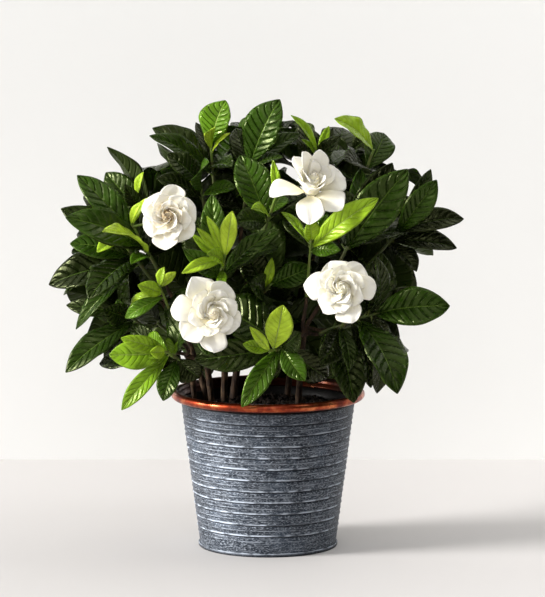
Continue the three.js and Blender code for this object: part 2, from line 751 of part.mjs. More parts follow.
function buildBloom(key) {
  const name = `bloom_${key}`;
  const { way, seat, size } = bloomSeat(key);
  const mouth = (BLOOM_TUBE - CORE_HEIGHT) * size;
  const shape = new THREE.Matrix4().compose(seat, facing(way), new THREE.Vector3(1, 1, 1));
  const firstAngle = BLOOMS[key].outer[0][0] + (BLOOMS[key].turn ?? 0);
  const ring = (radius, height, step) => Array.from({ length: CORE_SIDES }, (_, i) => {
    const degrees = firstAngle + CORE_START + step * CORE_TURN + (360 * i) / CORE_SIDES;
    const around = THREE.MathUtils.degToRad(degrees);
    return new THREE.Vector3(radius * Math.cos(around), radius * Math.sin(around), height);
  });
  const rings = [ring(TUBE_RADII[0], HALF_GAP, 0), ring(TUBE_RADII[1], mouth * 0.7, 0)];
  CORE_RINGS.forEach(([radius, height], i) => rings.push(ring(radius * size, mouth + height * size, i)));
  rings.push([new THREE.Vector3(0, 0, mouth + BUD_TIP * size)]);
  const turnedTo = (p) => p.clone().applyMatrix4(shape);
  const placedRings = rings.map((points) => points.map(turnedTo));
  grow(name, skinned(placedRings));
  const addPetal = (row, i, whorl) => {
    const middle = faceMiddle(facesBetween(rings[row], rings[row + 1])[i]);
    const around = whorl.angle ?? Math.atan2(middle.y, middle.x) + THREE.MathUtils.degToRad(whorl.turn);
    const start = { radius: Math.hypot(middle.x, middle.y), height: middle.z };
    const face = facesBetween(placedRings[row], placedRings[row + 1])[i];
    PETAL_BENDS.some(([open, aside, narrow]) => {
      const bentWhorl = { ...whorl, tip: whorl.tip + open };
      const angle = around + THREE.MathUtils.degToRad(aside);
      const petal = petalRings(bentWhorl, start, angle, whorl.length, whorl.width * narrow);
      const body = grownFrom(face, petal.map((points) => points.map(turnedTo)));
      return isFree(name, body) && grow(name, body);
    });
  };
  BLOOMS[key].outer.forEach(([angle, reach, tip = OUTER_WHORL.tip], i) => {
    const length = (reach - 0.8 * CORE_RINGS[1][0] * size) / 0.95;
    const width = size * OUTER_WHORL.width * between(0.95, 1.05);
    const root = Math.min(OUTER_WHORL.root, tip - 25);
    addPetal(2, i, { root, tip, angle: THREE.MathUtils.degToRad(angle), length, width });
  });
  (BLOOMS[key].inner ?? INNER_WHORLS).forEach((whorl, k) => whorl.faces.forEach((i) => {
    const length = size * whorl.length * between(0.93, 1.07);
    addPetal(3 + k, i, { ...whorl, length, width: size * whorl.width * between(0.95, 1.05) });
  }));
}

// Pot
const slope = (BODY_TOP_RADIUS - BASE_RADIUS) / BODY_TOP;
const bodyRadius = (z) => BASE_RADIUS + slope * z;
const outer = [[0, 0], [bodyRadius(0) - FOOT_CHAMFER, 0], [bodyRadius(FOOT_CHAMFER), FOOT_CHAMFER]];
for (let k = 0; k < RIB_COUNT; k += 1) {
  const z = RIB_FIRST + RIB_PITCH * k;
  outer.push([bodyRadius(z) - RIB_DEPTH, z - RIB_HALF]);
  outer.push([bodyRadius(z) + 0.5 * RIB_DEPTH, z + RIB_HALF]);
}
outer.push([bodyRadius(BODY_TOP), BODY_TOP], [bodyRadius(WALL_TOP), WALL_TOP]);
const innerRadius = (z) => bodyRadius(z) - WALL - RIB_DEPTH;
const inner = [
  [innerRadius(WALL_TOP), WALL_TOP],
  [innerRadius(FLOOR + FLOOR_CORNER), FLOOR + FLOOR_CORNER],
  [innerRadius(0) - FLOOR_CORNER, FLOOR],
];
const potWall = turned([...outer, ...inner, [0, FLOOR]]);
addMesh('pot_wall', potWall, '#5d6672', 0.5, 0.6);

// The base ring is crimped round the foot of the wall.
const bandInside = (z) => bodyRadius(z) + GAP;
const bandFoot = bandInside(FOOT_CHAMFER);
const baseBand = turned([
  [bandFoot, 0], [bandFoot + BASE_BAND_THICK, BASE_BAND_ROUND],
  [bandInside(BASE_BAND_HEIGHT) + BASE_BAND_THICK, BASE_BAND_HEIGHT - BASE_BAND_ROUND],
  [bandInside(BASE_BAND_HEIGHT), BASE_BAND_HEIGHT], [bandFoot, 0],
]);
addMesh('pot_base_ring', baseBand, '#59626d', 0.5, 0.6);

// The rim is a rolled bead on a short flare, seated on the top edge of the wall.
const seatHeight = WALL_TOP + GAP;
const rimInside = bodyRadius(WALL_TOP) - RIM_INSET;
const rimProfile = [[rimInside, seatHeight], [bodyRadius(WALL_TOP) + RIM_LEDGE, seatHeight]];
for (let k = 0; k < BEAD_STEPS; k += 1) {
  const turn = BEAD_START + (k * BEAD_SWEEP) / (BEAD_STEPS - 1);
  rimProfile.push([BEAD_CENTRE + BEAD_RADIUS * Math.cos(turn), BEAD_HEIGHT + BEAD_RADIUS * Math.sin(turn)]);
}
rimProfile.push([rimInside, seatHeight]);
addMesh('pot_rim', turned(rimProfile), '#b5492a', 0.35, 0.9);

// Soil with a plain hole for each stem.
const soilRadius = (z) => innerRadius(z) - SOIL_SLACK;
const soilCorner = FLOOR + 3 * FLOOR_CORNER;
let soil = turned([
  [0, FLOOR + GAP], [innerRadius(0) - 2 * FLOOR_CORNER, FLOOR + GAP], [soilRadius(soilCorner), soilCorner],
  [soilRadius(SOIL_EDGE), SOIL_EDGE], ...SOIL_MOUND, [0, SOIL_CROWN],
]);
Object.values(STEMS).forEach(({ foot, radius }) => {
  const wide = radius + HOLE_SLACK + GAP;
  const hole = new THREE.CylinderGeometry(wide, wide, HOLE_LENGTH, HOLE_SIDES);
  hole.rotateX(Math.PI / 2);
  hole.translate(foot.x, foot.y, SOIL_EDGE - HOLE_DEPTH + HOLE_LENGTH / 2);
  soil = soil.subtract(solidFrom(hole));
});
addMesh('soil', soil, '#2a1d14', 0.95, 0);

place('pot_wall', potWall);
place('pot_rim', turned(rimProfile));
place('soil', soil);

// Extra leaves of each front shoot, which stand behind its hub and close the inside of the bush
const FILLERS = 4;

// Shoots: where each twig starts, its way there, and its hub.
const shoots = [
  ...SHOOTS.map((shoot) => {
    const byRule = shoot.dark.length > 0 ? FILLERS : 0;
    return { ...shoot, byRule, hubPoint: seen(...shoot.hub) };
  }),
  ...BACK_SHOOTS.map((shoot) => {
    const hubPoint = new THREE.Vector3(...shoot.hub);
    return { ...shoot, dark: [], young: [], hubPoint };
  }),
];
shoots.forEach((shoot) => {
  const { fork } = STEMS[shoot.stem];
  const reach = shoot.hubPoint.clone().sub(fork);
  shoot.far = reach.length();
  shoot.way = reach.clone().normalize();
  const twig = Math.min(TWIG_LENGTH, shoot.far * TWIG_SHARE);
  shoot.start = shoot.hubPoint.clone().addScaledVector(shoot.way, -twig);
});

// Each second row is a little thicker, as the joints of a twig are.
function knuckle(row) {
  return row % 2 ? 1.05 : 0.97;
}

// Twigs: a bare stretch and then short rows of faces, from which the leaves grow.
const ROW = 3.4;
function leafyTwig(node, start, end, way, rowCount, radii, capUsed) {
  const length = start.distanceTo(end);
  const bare = Math.max(length - rowCount * ROW, 0.15 * length);
  const stops = [0, 0.5 * bare];
  for (let k = 0; k <= rowCount; k += 1) {
    stops.push(bare + (k * (length - bare)) / rowCount);
  }
  const path = stops.map((s) => {
    const rise = TWIG_ARC * Math.sin((Math.PI * s) / length);
    return start.clone().lerp(end, s / length).addScaledVector(UP, rise);
  });
  const thick = stops.map((s, k) => (radii[0] + ((radii[1] - radii[0]) * s) / length) * knuckle(k));
  const rings = tubeRings(path, thick, TWIG_SIDES, way, way);
  const faces = facesFromRow(rings, 2);
  if (!capUsed) {
    faces.push({ face: rings.at(-1), row: rowCount - 1, used: false });
  }
  grow(node, skinned(rings));
  return faces;
}
function rowsFor(count) {
  return Math.min(Math.max(Math.ceil(count / 2) + 1, 2), 7);
}
function growTwigs(shoot) {
  const darkCount = shoot.dark.length + shoot.byRule;
  if (darkCount > 0) {
    const start = shoot.start.clone().addScaledVector(shoot.way, HALF_GAP);
    const end = shoot.hubPoint.clone().addScaledVector(shoot.way, -HALF_GAP);
    const node = `spray_${shoot.name}`;
    const radii = [TWIG_RADIUS, TWIG_TIP_RADIUS];
    const capUsed = shoot.young.length > 0;
    shoot.darkFaces = leafyTwig(node, start, end, shoot.way, rowsFor(darkCount), radii, capUsed);
  }
  if (shoot.young.length > 0) {
    const from = darkCount > 0 ? shoot.hubPoint : shoot.start;
    const start = from.clone().addScaledVector(shoot.way, HALF_GAP);
    const end = shoot.hubPoint.clone().addScaledVector(shoot.way, YOUNG_LENGTH);
    const node = `tip_${shoot.name}`;
    const radii = [darkCount > 0 ? YOUNG_RADIUS : TWIG_RADIUS, 1];
    shoot.youngFaces = leafyTwig(node, start, end, shoot.way, rowsFor(shoot.young.length), radii, false);
  }
  if (shoot.bloom) {
    growStalk(shoot);
  }
}
// The stalk of a bloom, from a face of the twig to the calyx under the corolla
function growStalk(shoot) {
  const young = shoot.bearer === 'young';
  const faces = young ? shoot.youngFaces : shoot.darkFaces;
  const { way, seat } = bloomSeat(shoot.bloom);
  const end = seat.clone().addScaledVector(way, -HALF_GAP);
  const neck = end.clone().addScaledVector(way, -STALK_NECK);
  const entry = facesTowards(faces, neck, faces.length)[0];
  const from = faceMiddle(entry.face);
  const middle = from.clone().lerp(neck, 0.5).addScaledVector(faceWay(entry.face), 3);
  const rings = tubeRings([from, middle, neck, end], STALK_RADII, TWIG_SIDES, null, way).slice(1);
  entry.used = true;
  grow(young ? `tip_${shoot.name}` : `spray_${shoot.name}`, grownFrom(entry.face, rings));
}

// Blooms first, then twigs and stalks, so that the leaves make way for them.
Object.keys(BLOOMS).forEach(buildBloom);
shoots.forEach(growTwigs);

// Woody stems: a trunk from its hole to the fork and a branch to the start of each twig. A branch
// that would cross a piece of another node takes the first bow that is clear.
const BOWS = [[0, 0]];
[7, 14, 22, 30].forEach((d) => {
  BOWS.push([d, 0], [-d, 0], [0, d], [0, -d], [d, d], [-d, -d], [d, -d], [-d, d]);
});
const TRUNK_ROW = 5;
const BARE_FOOT = 3;
const TAPER = 0.3;
const SAG = 0.06;
Object.entries(STEMS).forEach(([key, { foot, fork, radius }]) => {
  const name = `stem_${key}`;
  const bottom = new THREE.Vector3(foot.x, foot.y, SOIL_EDGE - HOLE_DEPTH + GAP);
  const level = new THREE.Vector3(foot.x, foot.y, SOIL_CROWN + BARE_FOOT);
  const way = fork.clone().sub(level).normalize();
  const trunk = [bottom, level, fork];
  const borne = shoots.filter((shoot) => shoot.stem === key);
  const rows = Math.ceil(borne.length / 3) + 1;
  for (let k = 1; k <= rows; k += 1) {
    trunk.push(fork.clone().addScaledVector(way, k * TRUNK_ROW));
  }
  const radii = trunk.map((_, k) => radius * (1 - (TAPER * k) / trunk.length) * knuckle(k));
  const trunkRings = tubeRings(trunk, radii, STEM_SIDES, UP);
  grow(name, skinned(trunkRings));
  const faces = facesFromRow(trunkRings, 2);
  borne.forEach((shoot) => {
    const end = shoot.start.clone().addScaledVector(shoot.way, -HALF_GAP);
    const span = end.distanceTo(fork);
    const across = shoot.way.clone().cross(UP).normalize();
    let second = null;
    const kept = facesTowards(faces, end, rows).some((entry) => BOWS.some(([d, e]) => {
      const from = faceMiddle(entry.face);
      const low = from.clone().lerp(end, 0.12).addScaledVector(faceWay(entry.face), 2);
      const middle = from.clone().lerp(end, 0.55).addScaledVector(across, d);
      middle.addScaledVector(UP, e - span * SAG);
      const path = [from, low, middle, end];
      const rings = tubeRings(path, BRANCH_RADII, BRANCH_SIDES, faceWay(entry.face), shoot.way);
      const branch = grownFrom(entry.face, rings.slice(1));
      if (!isClear(name, branch)) {
        return false;
      }
      second ??= { branch, entry };
      if (!isFree(name, branch) || !grow(name, branch)) {
        return false;
      }
      entry.used = true;
      return true;
    }));
    if (!kept && second && grow(name, second.branch)) {
      second.entry.used = true;
    }
  });
});

// Leaves of the front, read from the picture. Older leaves leave the twig lower down.
function leafFor(shoot, entry, share) {
  const [across, down, depth, width, roll = 0] = entry;
  const tip = seen(across, down, depth);
  const hub = shoot.hubPoint;
  const outward = tip.clone().lerp(hub, 0.5).sub(BUSH_CENTRE).normalize();
  const upper = outward.multiplyScalar(0.6).addScaledVector(UP, 0.35).addScaledVector(TOWARDS_VIEWER, 0.6);
  const free = tip.clone().sub(EYE).normalize();
  const turn = THREE.MathUtils.degToRad(roll);
  return { tip, hub, share, width, roll: turn, bow: BLADE_BOW, upper, free, byRule: false };
}
shoots.forEach((shoot) => shoot.dark.forEach((entry, i) => {
  addLeaf(`spray_${shoot.name}`, shoot.darkFaces, leafFor(shoot, entry, (i + 0.5) / shoot.dark.length));
}));
shoots.forEach((shoot) => shoot.young.forEach((entry, i) => {
  addLeaf(`tip_${shoot.name}`, shoot.youngFaces, leafFor(shoot, entry, (i + 0.5) / shoot.young.length));
}));

// Leaves by rule: a spiral about the twig, opening wider lower down. They close the back and fill
// the inside of the front behind the leaves that were read.
const GOLDEN = Math.PI * (3 - Math.sqrt(5));
const FILLER_STEP = 1.6;
const FILLER_BEHIND = 8;
const BACK_NEAREST = -60;
function ruleLeaf(shoot, index, count) {
  const share = (index + 0.5) / count;
  const hub = shoot.hubPoint;
  const front = shoot.dark.length > 0;
  const open = THREE.MathUtils.degToRad(between(74, 86) - 38 * share);
  let across = shoot.way.clone().cross(UP);
  if (across.length() < 0.2) {
    across = new THREE.Vector3(1, 0, 0);
  }
  across.normalize();
  const other = across.clone().cross(shoot.way);
  const back = Math.atan2(AWAY.dot(other), AWAY.dot(across));
  const spiral = front ? back + FILLER_STEP * (index - 0.5) : GOLDEN * index;
  const around = between(-0.3, 0.3) + spiral;
  const beside = across.multiplyScalar(Math.cos(around)).addScaledVector(other, Math.sin(around));
  const length = between(56, 74);
  const way = shoot.way.clone().multiplyScalar(Math.cos(open)).addScaledVector(beside, Math.sin(open));
  const tip = hub.clone().addScaledVector(shoot.way, -20 * (1 - share)).addScaledVector(way, length);
  const outward = tip.clone().sub(BUSH_CENTRE).normalize();
  const upper = outward.multiplyScalar(0.7).addScaledVector(UP, 0.5).addScaledVector(AWAY, 0.3);
  const free = upper.clone().addScaledVector(way, -upper.dot(way)).normalize();
  const width = length * between(0.42, 0.5);
  const nearest = front ? hub.y + FILLER_BEHIND : BACK_NEAREST;
  return { tip, hub, share, width, roll: 0, bow: BLADE_BOW, upper, free, byRule: true, nearest };
}
shoots.filter((shoot) => shoot.byRule > 0).forEach((shoot) => {
  for (let i = 0; i < shoot.byRule; i += 1) {
    addLeaf(`spray_${shoot.name}`, shoot.darkFaces, ruleLeaf(shoot, i, shoot.byRule));
  }
});

const LEAF_DARK = '#2d4a12';
const LEAF_LIGHT = '#8db52a';
const PETAL_WHITE = '#f7f4ee';
const BARK = '#5b4632';
nodes.forEach((body, name) => {
  if (name.startsWith('stem_')) {
    addMesh(name, body, BARK, 0.85, 0);
  } else if (name.startsWith('bloom_')) {
    addMesh(name, body, PETAL_WHITE, 0.6, 0);
  } else if (name.startsWith('tip_')) {
    addMesh(name, body, LEAF_LIGHT, 0.35, 0);
  } else {
    addMesh(name, body, LEAF_DARK, 0.3, 0);
  }
});

export default group;
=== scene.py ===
"""A potted gardenia: a shrub with four open double blooms in a ribbed zinc pot with a rolled copper rim.

The plant's front faces -Y and +Z is up. Sizes are in millimetres until a mesh is made, and meshes are
in metres. Each leaf and petal is read back from its CAD node and built again as a fine blade.
"""

import math

import bpy
import numpy as np
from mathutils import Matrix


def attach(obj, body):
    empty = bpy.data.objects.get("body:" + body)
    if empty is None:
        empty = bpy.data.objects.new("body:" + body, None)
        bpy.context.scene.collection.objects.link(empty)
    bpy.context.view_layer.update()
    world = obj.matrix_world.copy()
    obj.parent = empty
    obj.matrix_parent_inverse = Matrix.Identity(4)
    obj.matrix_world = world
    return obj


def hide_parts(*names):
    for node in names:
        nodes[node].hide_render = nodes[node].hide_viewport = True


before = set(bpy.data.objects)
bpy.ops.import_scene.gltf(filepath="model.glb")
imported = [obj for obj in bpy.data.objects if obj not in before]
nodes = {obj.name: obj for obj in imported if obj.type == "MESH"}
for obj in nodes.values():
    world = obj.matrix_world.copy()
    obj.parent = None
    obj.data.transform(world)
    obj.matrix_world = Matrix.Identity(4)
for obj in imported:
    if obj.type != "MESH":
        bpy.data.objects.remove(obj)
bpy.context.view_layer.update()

MM = 0.001
UP = np.array([0.0, 0.0, 1.0])
rng = np.random.default_rng(4127)


# Node trees


def linear(code):
    """Linear red, green, blue and alpha of an sRGB hex colour."""
    parts = [int(code[i:i + 2], 16) / 255 for i in (1, 3, 5)]
    return (*[p / 12.92 if p <= 0.04045 else ((p + 0.055) / 1.055) ** 2.4 for p in parts], 1.0)


# The prefixes of Blender's names for kinds of nodes
KIND_PREFIXES = ("ShaderNode", "GeometryNode", "FunctionNode", "")


def add(tree, kind, inputs=(), stops=(), points=(), **settings):
    """Adds a node with its settings and links. Its kind goes without the prefix, and may have its operation
    or its data type after a space. Inputs lists the sources of its first sockets, or maps a socket's name or
    number to its source: a value, a hex colour, a socket, a node whose first output in use feeds it, or a
    list of such sources. Stops are a colour ramp's, and points are a curve's."""
    kind, _, mode = kind.partition(" ")
    made = tree.nodes.new(next(p + kind for p in KIND_PREFIXES if hasattr(bpy.types, p + kind)))
    if mode:
        setattr(made, "operation" if hasattr(made, "operation") else "data_type", mode)
    for name, value in settings.items():
        setattr(made, name, value)
    sources = inputs if isinstance(inputs, dict) else dict(enumerate(inputs))
    for key, value in sources.items():
        for source in value if isinstance(value, list) else [value]:
            if isinstance(source, bpy.types.Node):
                source = next(out for out in source.outputs if out.enabled)
            if isinstance(source, bpy.types.NodeSocket):
                tree.links.new(source, made.inputs[key])
            elif isinstance(source, str) and source.startswith("#"):
                made.inputs[key].default_value = linear(source)
            else:
                made.inputs[key].default_value = source
    if stops:
        elements = made.color_ramp.elements
        while len(elements) < len(stops):
            elements.new(0.5)
        for element, (position, code) in zip(elements, stops):
            element.position = position
            element.color = linear(code)
    if points:
        curve = made.mapping.curves[0]
        while len(curve.points) < len(points):
            curve.points.new(0.5, 0.5)
        for point, place in zip(curve.points, points):
            point.location = place
        made.mapping.update()
    return made


def new_material(name, build):
    """A material whose nodes are made by build, which takes the tree and the place on the object and
    returns the inputs of the surface."""
    material = bpy.data.materials.new(name)
    material.use_nodes = True
    tree = material.node_tree
    tree.nodes.clear()
    surface = add(tree, "BsdfPrincipled", build(tree, add(tree, "TexCoord").outputs["Object"]))
    add(tree, "OutputMaterial", {"Surface": surface})
    return material


# Materials. A noise's scale is one over the size of its features, in metres.


def leaf_surface(tree, place):
    """Gardenia leaf under a thick waxy cuticle: a glossy deep green, its tone partly the leaf's age and
    partly painted shade, mottled and smeared, quilted between sunk side veins painted dark as shade, with a
    thin pale midrib and margin and a dull pale underside."""
    tone = add(tree, "Attribute", attribute_name="tone").outputs["Fac"]
    blade = add(tree, "Attribute", attribute_name="blade").outputs["Vector"]
    bold = add(tree, "Attribute", attribute_name="bold").outputs["Fac"]
    phase, across, under = add(tree, "SeparateXYZ", [blade]).outputs
    wide = add(tree, "Math ABSOLUTE", [across])
    # A side vein lies wherever the phase is a whole number, and the midrib where across is nought.
    beside = add(tree, "Math PINGPONG", [phase, 0.5])
    fade = add(tree, "MapRange", [wide, 0.7, 0.95, 1.0, 0.0])
    vein = add(tree, "MapRange", [beside, 0.0, 0.2, fade, 0.0])
    midrib = add(tree, "MapRange", [wide, 0.015, 0.05, 0.9, 0.0])
    margin = add(tree, "MapRange", [wide, 0.95, 1.0, 0.0, 0.4])
    # The tone runs from the darkest green, which also stands as the painted shade of leaves in shadow, to the
    # palest young green.
    green = add(tree, "ValToRGB", [tone], stops=[
        (0.0, "#0c1103"), (0.12, "#162205"), (0.3, "#28410b"), (0.5, "#486c12"), (0.75, "#86a920"),
        (1.0, "#b4ce38"),
    ])
    pale = add(tree, "ValToRGB", [tone], stops=[
        (0.0, "#34471a"), (0.3, "#607d2c"), (0.7, "#9fba50"), (1.0, "#c9da7e"),
    ])
    patches = add(tree, "TexNoise", {"Vector": place, "Scale": 1 / (14 * MM), "Detail": 3.0})
    light = add(tree, "MapRange", [patches, 0.35, 0.65, 0.75, 1.2])
    mottled = add(tree, "HueSaturation", {"Value": light, "Color": green})
    ragged = add(tree, "MapRange", [patches, 0.4, 0.6, 0.5, 0.12])
    # The side veins are painted darker than the panels, as shade in their sunk lines. Those of a pale young
    # leaf are shallow and hardly darker than its panels.
    grown = add(tree, "MapRange", [tone, 0.35, 0.9, 1.0, 0.3])
    bolder = add(tree, "Math MULTIPLY", [bold, grown])
    marked = add(tree, "Math MULTIPLY", [vein, bolder])
    vein_shade = add(tree, "Math MULTIPLY", [marked, ragged])
    # Painted shade: the sunk side veins are darkened almost to black.
    veined = add(tree, "Mix RGBA", {0: vein_shade, 6: mottled, 7: "#0e1604"})
    line = add(tree, "Math MAXIMUM", [midrib, margin])
    upper = add(tree, "Mix RGBA", {0: line, 6: veined, 7: pale})
    lower = add(tree, "Mix RGBA", {0: 0.22, 6: mottled, 7: "#4c6426"})
    colour = add(tree, "Mix RGBA", {0: under, 6: upper, 7: lower})
    smears = add(tree, "TexNoise", {"Vector": place, "Scale": 1 / (5 * MM), "Detail": 4.0})
    gloss = add(tree, "MapRange", [smears, 0.35, 0.65, 0.13, 0.42])
    rough = add(tree, "Math MULTIPLY_ADD", [under, 0.2, gloss])
    # The veins look up to 1.3 mm deep. The cuticle's grain, too fine to show, is drawn 1.1 mm coarse.
    sharp = add(tree, "Math MAXIMUM", [marked, midrib])
    relief = add(tree, "Bump", {"Height": sharp, "Distance": 1.3 * MM}, invert=True)
    grain = add(tree, "TexNoise", {"Vector": place, "Scale": 1 / (1.1 * MM), "Detail": 2.0})
    skin = add(tree, "Bump", {"Height": grain, "Distance": 0.09 * MM, "Normal": relief})
    return {
        "Base Color": colour, "Roughness": rough, "IOR": 1.45, "Specular IOR Level": 0.45,
        "Specular Tint": "#e2efa4", "Subsurface Weight": 0.04,
        "Subsurface Radius": (0.6, 1.0, 0.2), "Subsurface Scale": 0.001, "Normal": skin,
    }


def petal_surface(tree, place):
    """Gardenia petal, thick and velvety: satin white that turns cream at the root and soft where it is seen
    edge on, with faint veins along it and stains where it is past its best."""
    petal = add(tree, "Attribute", attribute_name="petal").outputs["Vector"]
    along, across, age = add(tree, "SeparateXYZ", [petal]).outputs
    root = add(tree, "MapRange", [along, 0.05, 0.75, 0.6, 0.0])
    white = add(tree, "Mix RGBA", {0: root, 6: "#fdfbf1", 7: "#f8f0c6"})
    patches = add(tree, "TexNoise", {"Vector": place, "Scale": 1 / (7 * MM), "Detail": 3.0})
    most = add(tree, "Math MULTIPLY", [age, 0.9])
    stain = add(tree, "MapRange", [patches, 0.35, 0.65, 0.0, most])
    creamy = add(tree, "Mix RGBA", {0: stain, 6: white, 7: "#d6b472"})
    # A spent heart has brown flecks about 2 mm wide.
    spent = add(tree, "MapRange", [age, 0.7, 1.0, 0.0, 0.9])
    flecks = add(tree, "TexNoise", {"Vector": place, "Scale": 1 / (2.2 * MM), "Detail": 2.0})
    burnt = add(tree, "MapRange", [flecks, 0.46, 0.53, 0.0, spent])
    colour = add(tree, "Mix RGBA", {0: burnt, 6: creamy, 7: "#6b4a20"})
    spaced = add(tree, "Math MULTIPLY", [across, 9.0])
    lines = add(tree, "CombineXYZ", [spaced, along])
    veins = add(tree, "TexNoise", {"Vector": lines, "Scale": 2.2, "Detail": 3.0})
    relief = add(tree, "Bump", {"Height": veins, "Distance": 0.25 * MM})
    grain = add(tree, "TexNoise", {"Vector": place, "Scale": 1 / (0.8 * MM), "Detail": 2.0})
    skin = add(tree, "Bump", {"Height": grain, "Distance": 0.03 * MM, "Normal": relief})
    return {
        "Base Color": colour, "Roughness": 0.5, "IOR": 1.42, "Diffuse Roughness": 1.0,
        "Sheen Weight": 0.4, "Sheen Roughness": 0.5, "Sheen Tint": "#fff4d8", "Subsurface Weight": 0.15,
        "Subsurface Radius": (1.0, 0.9, 0.5), "Subsurface Scale": 0.002, "Normal": skin,
    }


def stalk_surface(tree, place):
    """Green bark of a young gardenia twig: smooth and dull, browner where it is older."""
    tone = add(tree, "Attribute", attribute_name="tone").outputs["Fac"]
    green = add(tree, "Mix RGBA", {0: tone, 6: "#353f1b", 7: "#6d872c"})
    blotches = add(tree, "TexNoise", {"Vector": place, "Scale": 1 / (5 * MM), "Detail": 4.0})
    corky = add(tree, "MapRange", [blotches, 0.45, 0.7, 0.0, 0.6])
    colour = add(tree, "Mix RGBA", {0: corky, 6: green, 7: "#5e4e30"})
    pores = add(tree, "TexNoise", {"Vector": place, "Scale": 1 / (1.5 * MM), "Detail": 3.0})
    return {
        "Base Color": colour, "Roughness": 0.55, "IOR": 1.45,
        "Normal": add(tree, "Bump", {"Height": pores, "Distance": 0.15 * MM}),
    }


def bark_surface(tree, place):
    """Gardenia bark, thin and corky: matt grey-brown with fine cracks along the stem."""
    patches = add(tree, "TexNoise", {"Vector": place, "Scale": 1 / (9 * MM), "Detail": 4.0})
    brown = add(tree, "ValToRGB", [patches], stops=[(0.25, "#2c1f15"), (0.5, "#4b3624"), (0.75, "#735b40")])
    # Cracks are 1.6 mm wide and seven times as long.
    upright = add(tree, "Mapping", {"Vector": place, "Scale": (1.0, 1.0, 1 / 7)})
    cracks = add(tree, "TexNoise", {"Vector": upright, "Scale": 1 / (1.6 * MM), "Detail": 3.0})
    dark = add(tree, "MapRange", [cracks, 0.42, 0.55, 0.75, 0.0])
    colour = add(tree, "Mix RGBA", {0: dark, 6: brown, 7: "#22160e"})
    lumps = add(tree, "Bump", {"Height": patches, "Distance": 0.4 * MM})
    relief = add(tree, "Bump", {"Height": cracks, "Distance": 0.6 * MM, "Normal": lumps})
    return {"Base Color": colour, "Roughness": 0.85, "IOR": 1.45, "Normal": relief}


def zinc_surface(tree, place):
    """Zinc-plated steel sheet, rolled into ribs, weathered slate blue and rubbed with whitewash: dull
    metal, speckled with chalk, with pale broken lines on the ridges. Painted shade darkens the grooves
    and a band under the rim, and paints the inside nearly black."""
    ridge = add(tree, "Attribute", attribute_name="ridge").outputs["Fac"]
    groove = add(tree, "Attribute", attribute_name="groove").outputs["Fac"]
    inside = add(tree, "Attribute", attribute_name="inside").outputs["Fac"]
    clouds = add(tree, "TexNoise", {"Vector": place, "Scale": 1 / (22 * MM), "Detail": 4.0})
    slate = add(tree, "ValToRGB", [clouds], stops=[(0.3, "#1a2029"), (0.5, "#262e39"), (0.7, "#38424f")])
    # Specks of chalk are drawn 0.8 mm high and 2 mm wide, the least that shows. Brush strokes are 12 mm long.
    wiped = add(tree, "Mapping", {"Vector": place, "Scale": (0.4, 0.4, 1.0)})
    specks = add(tree, "TexNoise", {"Vector": wiped, "Scale": 1 / (0.8 * MM), "Detail": 2.0})
    dust = add(tree, "MapRange", [specks, 0.5, 0.7, 0.0, 0.6])
    level = add(tree, "Mapping", {"Vector": place, "Scale": (1 / 9, 1 / 9, 1.0)})
    strokes = add(tree, "TexNoise", {
        "Vector": level, "Scale": 1 / (1.4 * MM), "Detail": 5.0, "Roughness": 0.7,
    })
    wash = add(tree, "MapRange", [strokes, 0.5, 0.7, 0.0, 0.4])
    worn = add(tree, "TexNoise", {"Vector": wiped, "Scale": 1 / (4 * MM), "Detail": 5.0})
    kept = add(tree, "MapRange", [worn, 0.43, 0.58, 0.05, 1.0])
    rubbed = add(tree, "Math MULTIPLY", [ridge, kept])
    both = add(tree, "Math MAXIMUM", [dust, wash])
    chalk = add(tree, "Math MAXIMUM", [both, rubbed])
    washed = add(tree, "Mix RGBA", {0: chalk, 6: slate, 7: "#c3ccd8"})
    # Painted shade: the grooves, and a band under the rim where the crown's shadow falls, are darkened.
    high = add(tree, "SeparateXYZ", [place]).outputs["Z"]
    shadow_under_rim = add(tree, "MapRange", [high, 95 * MM, 127 * MM, 0.0, 0.5])
    painted_shade = add(tree, "Math MULTIPLY_ADD", [groove, 0.85, shadow_under_rim])
    painted_shaded = add(tree, "Mix RGBA", {0: painted_shade, 6: washed, 7: "#191d24"})
    # Painted shade: the inside of the pot and its top edge are painted nearly black.
    colour = add(tree, "Mix RGBA", {0: inside, 6: painted_shaded, 7: "#0d0b09"})
    rough = add(tree, "MapRange", [chalk, 0.0, 1.0, 0.5, 0.8])
    dents = add(tree, "Bump", {"Height": clouds, "Distance": 0.3 * MM})
    relief = add(tree, "Bump", {"Height": both, "Distance": 0.12 * MM, "Normal": dents})
    return {"Base Color": colour, "Metallic": 0.55, "Roughness": rough, "Normal": relief}


def copper_surface(tree, place):
    """Lacquered copper plate, rolled and tarnished in patches: smooth orange where it is rubbed, rougher
    brown-red where it has darkened, and painted dark on its inner side as shade."""
    inside = add(tree, "Attribute", attribute_name="inside").outputs["Fac"]
    patches = add(tree, "TexNoise", {
        "Vector": place, "Scale": 1 / (12 * MM), "Detail": 5.0, "Roughness": 0.6,
    })
    plate = add(tree, "ValToRGB", [patches], stops=[(0.3, "#44160d"), (0.48, "#93381d"), (0.7, "#d07848")])
    # Painted shade: the rim's inner side is painted nearly black.
    colour = add(tree, "Mix RGBA", {0: inside, 6: plate, 7: "#1e0d08"})
    rough = add(tree, "MapRange", [patches, 0.3, 0.7, 0.48, 0.24])
    waves = add(tree, "TexNoise", {"Vector": place, "Scale": 1 / (5 * MM), "Detail": 3.0})
    return {
        "Base Color": colour, "Metallic": 1.0, "Roughness": rough, "Coat Weight": 0.2, "Coat Roughness": 0.2,
        "Normal": add(tree, "Bump", {"Height": waves, "Distance": 0.12 * MM}),
    }


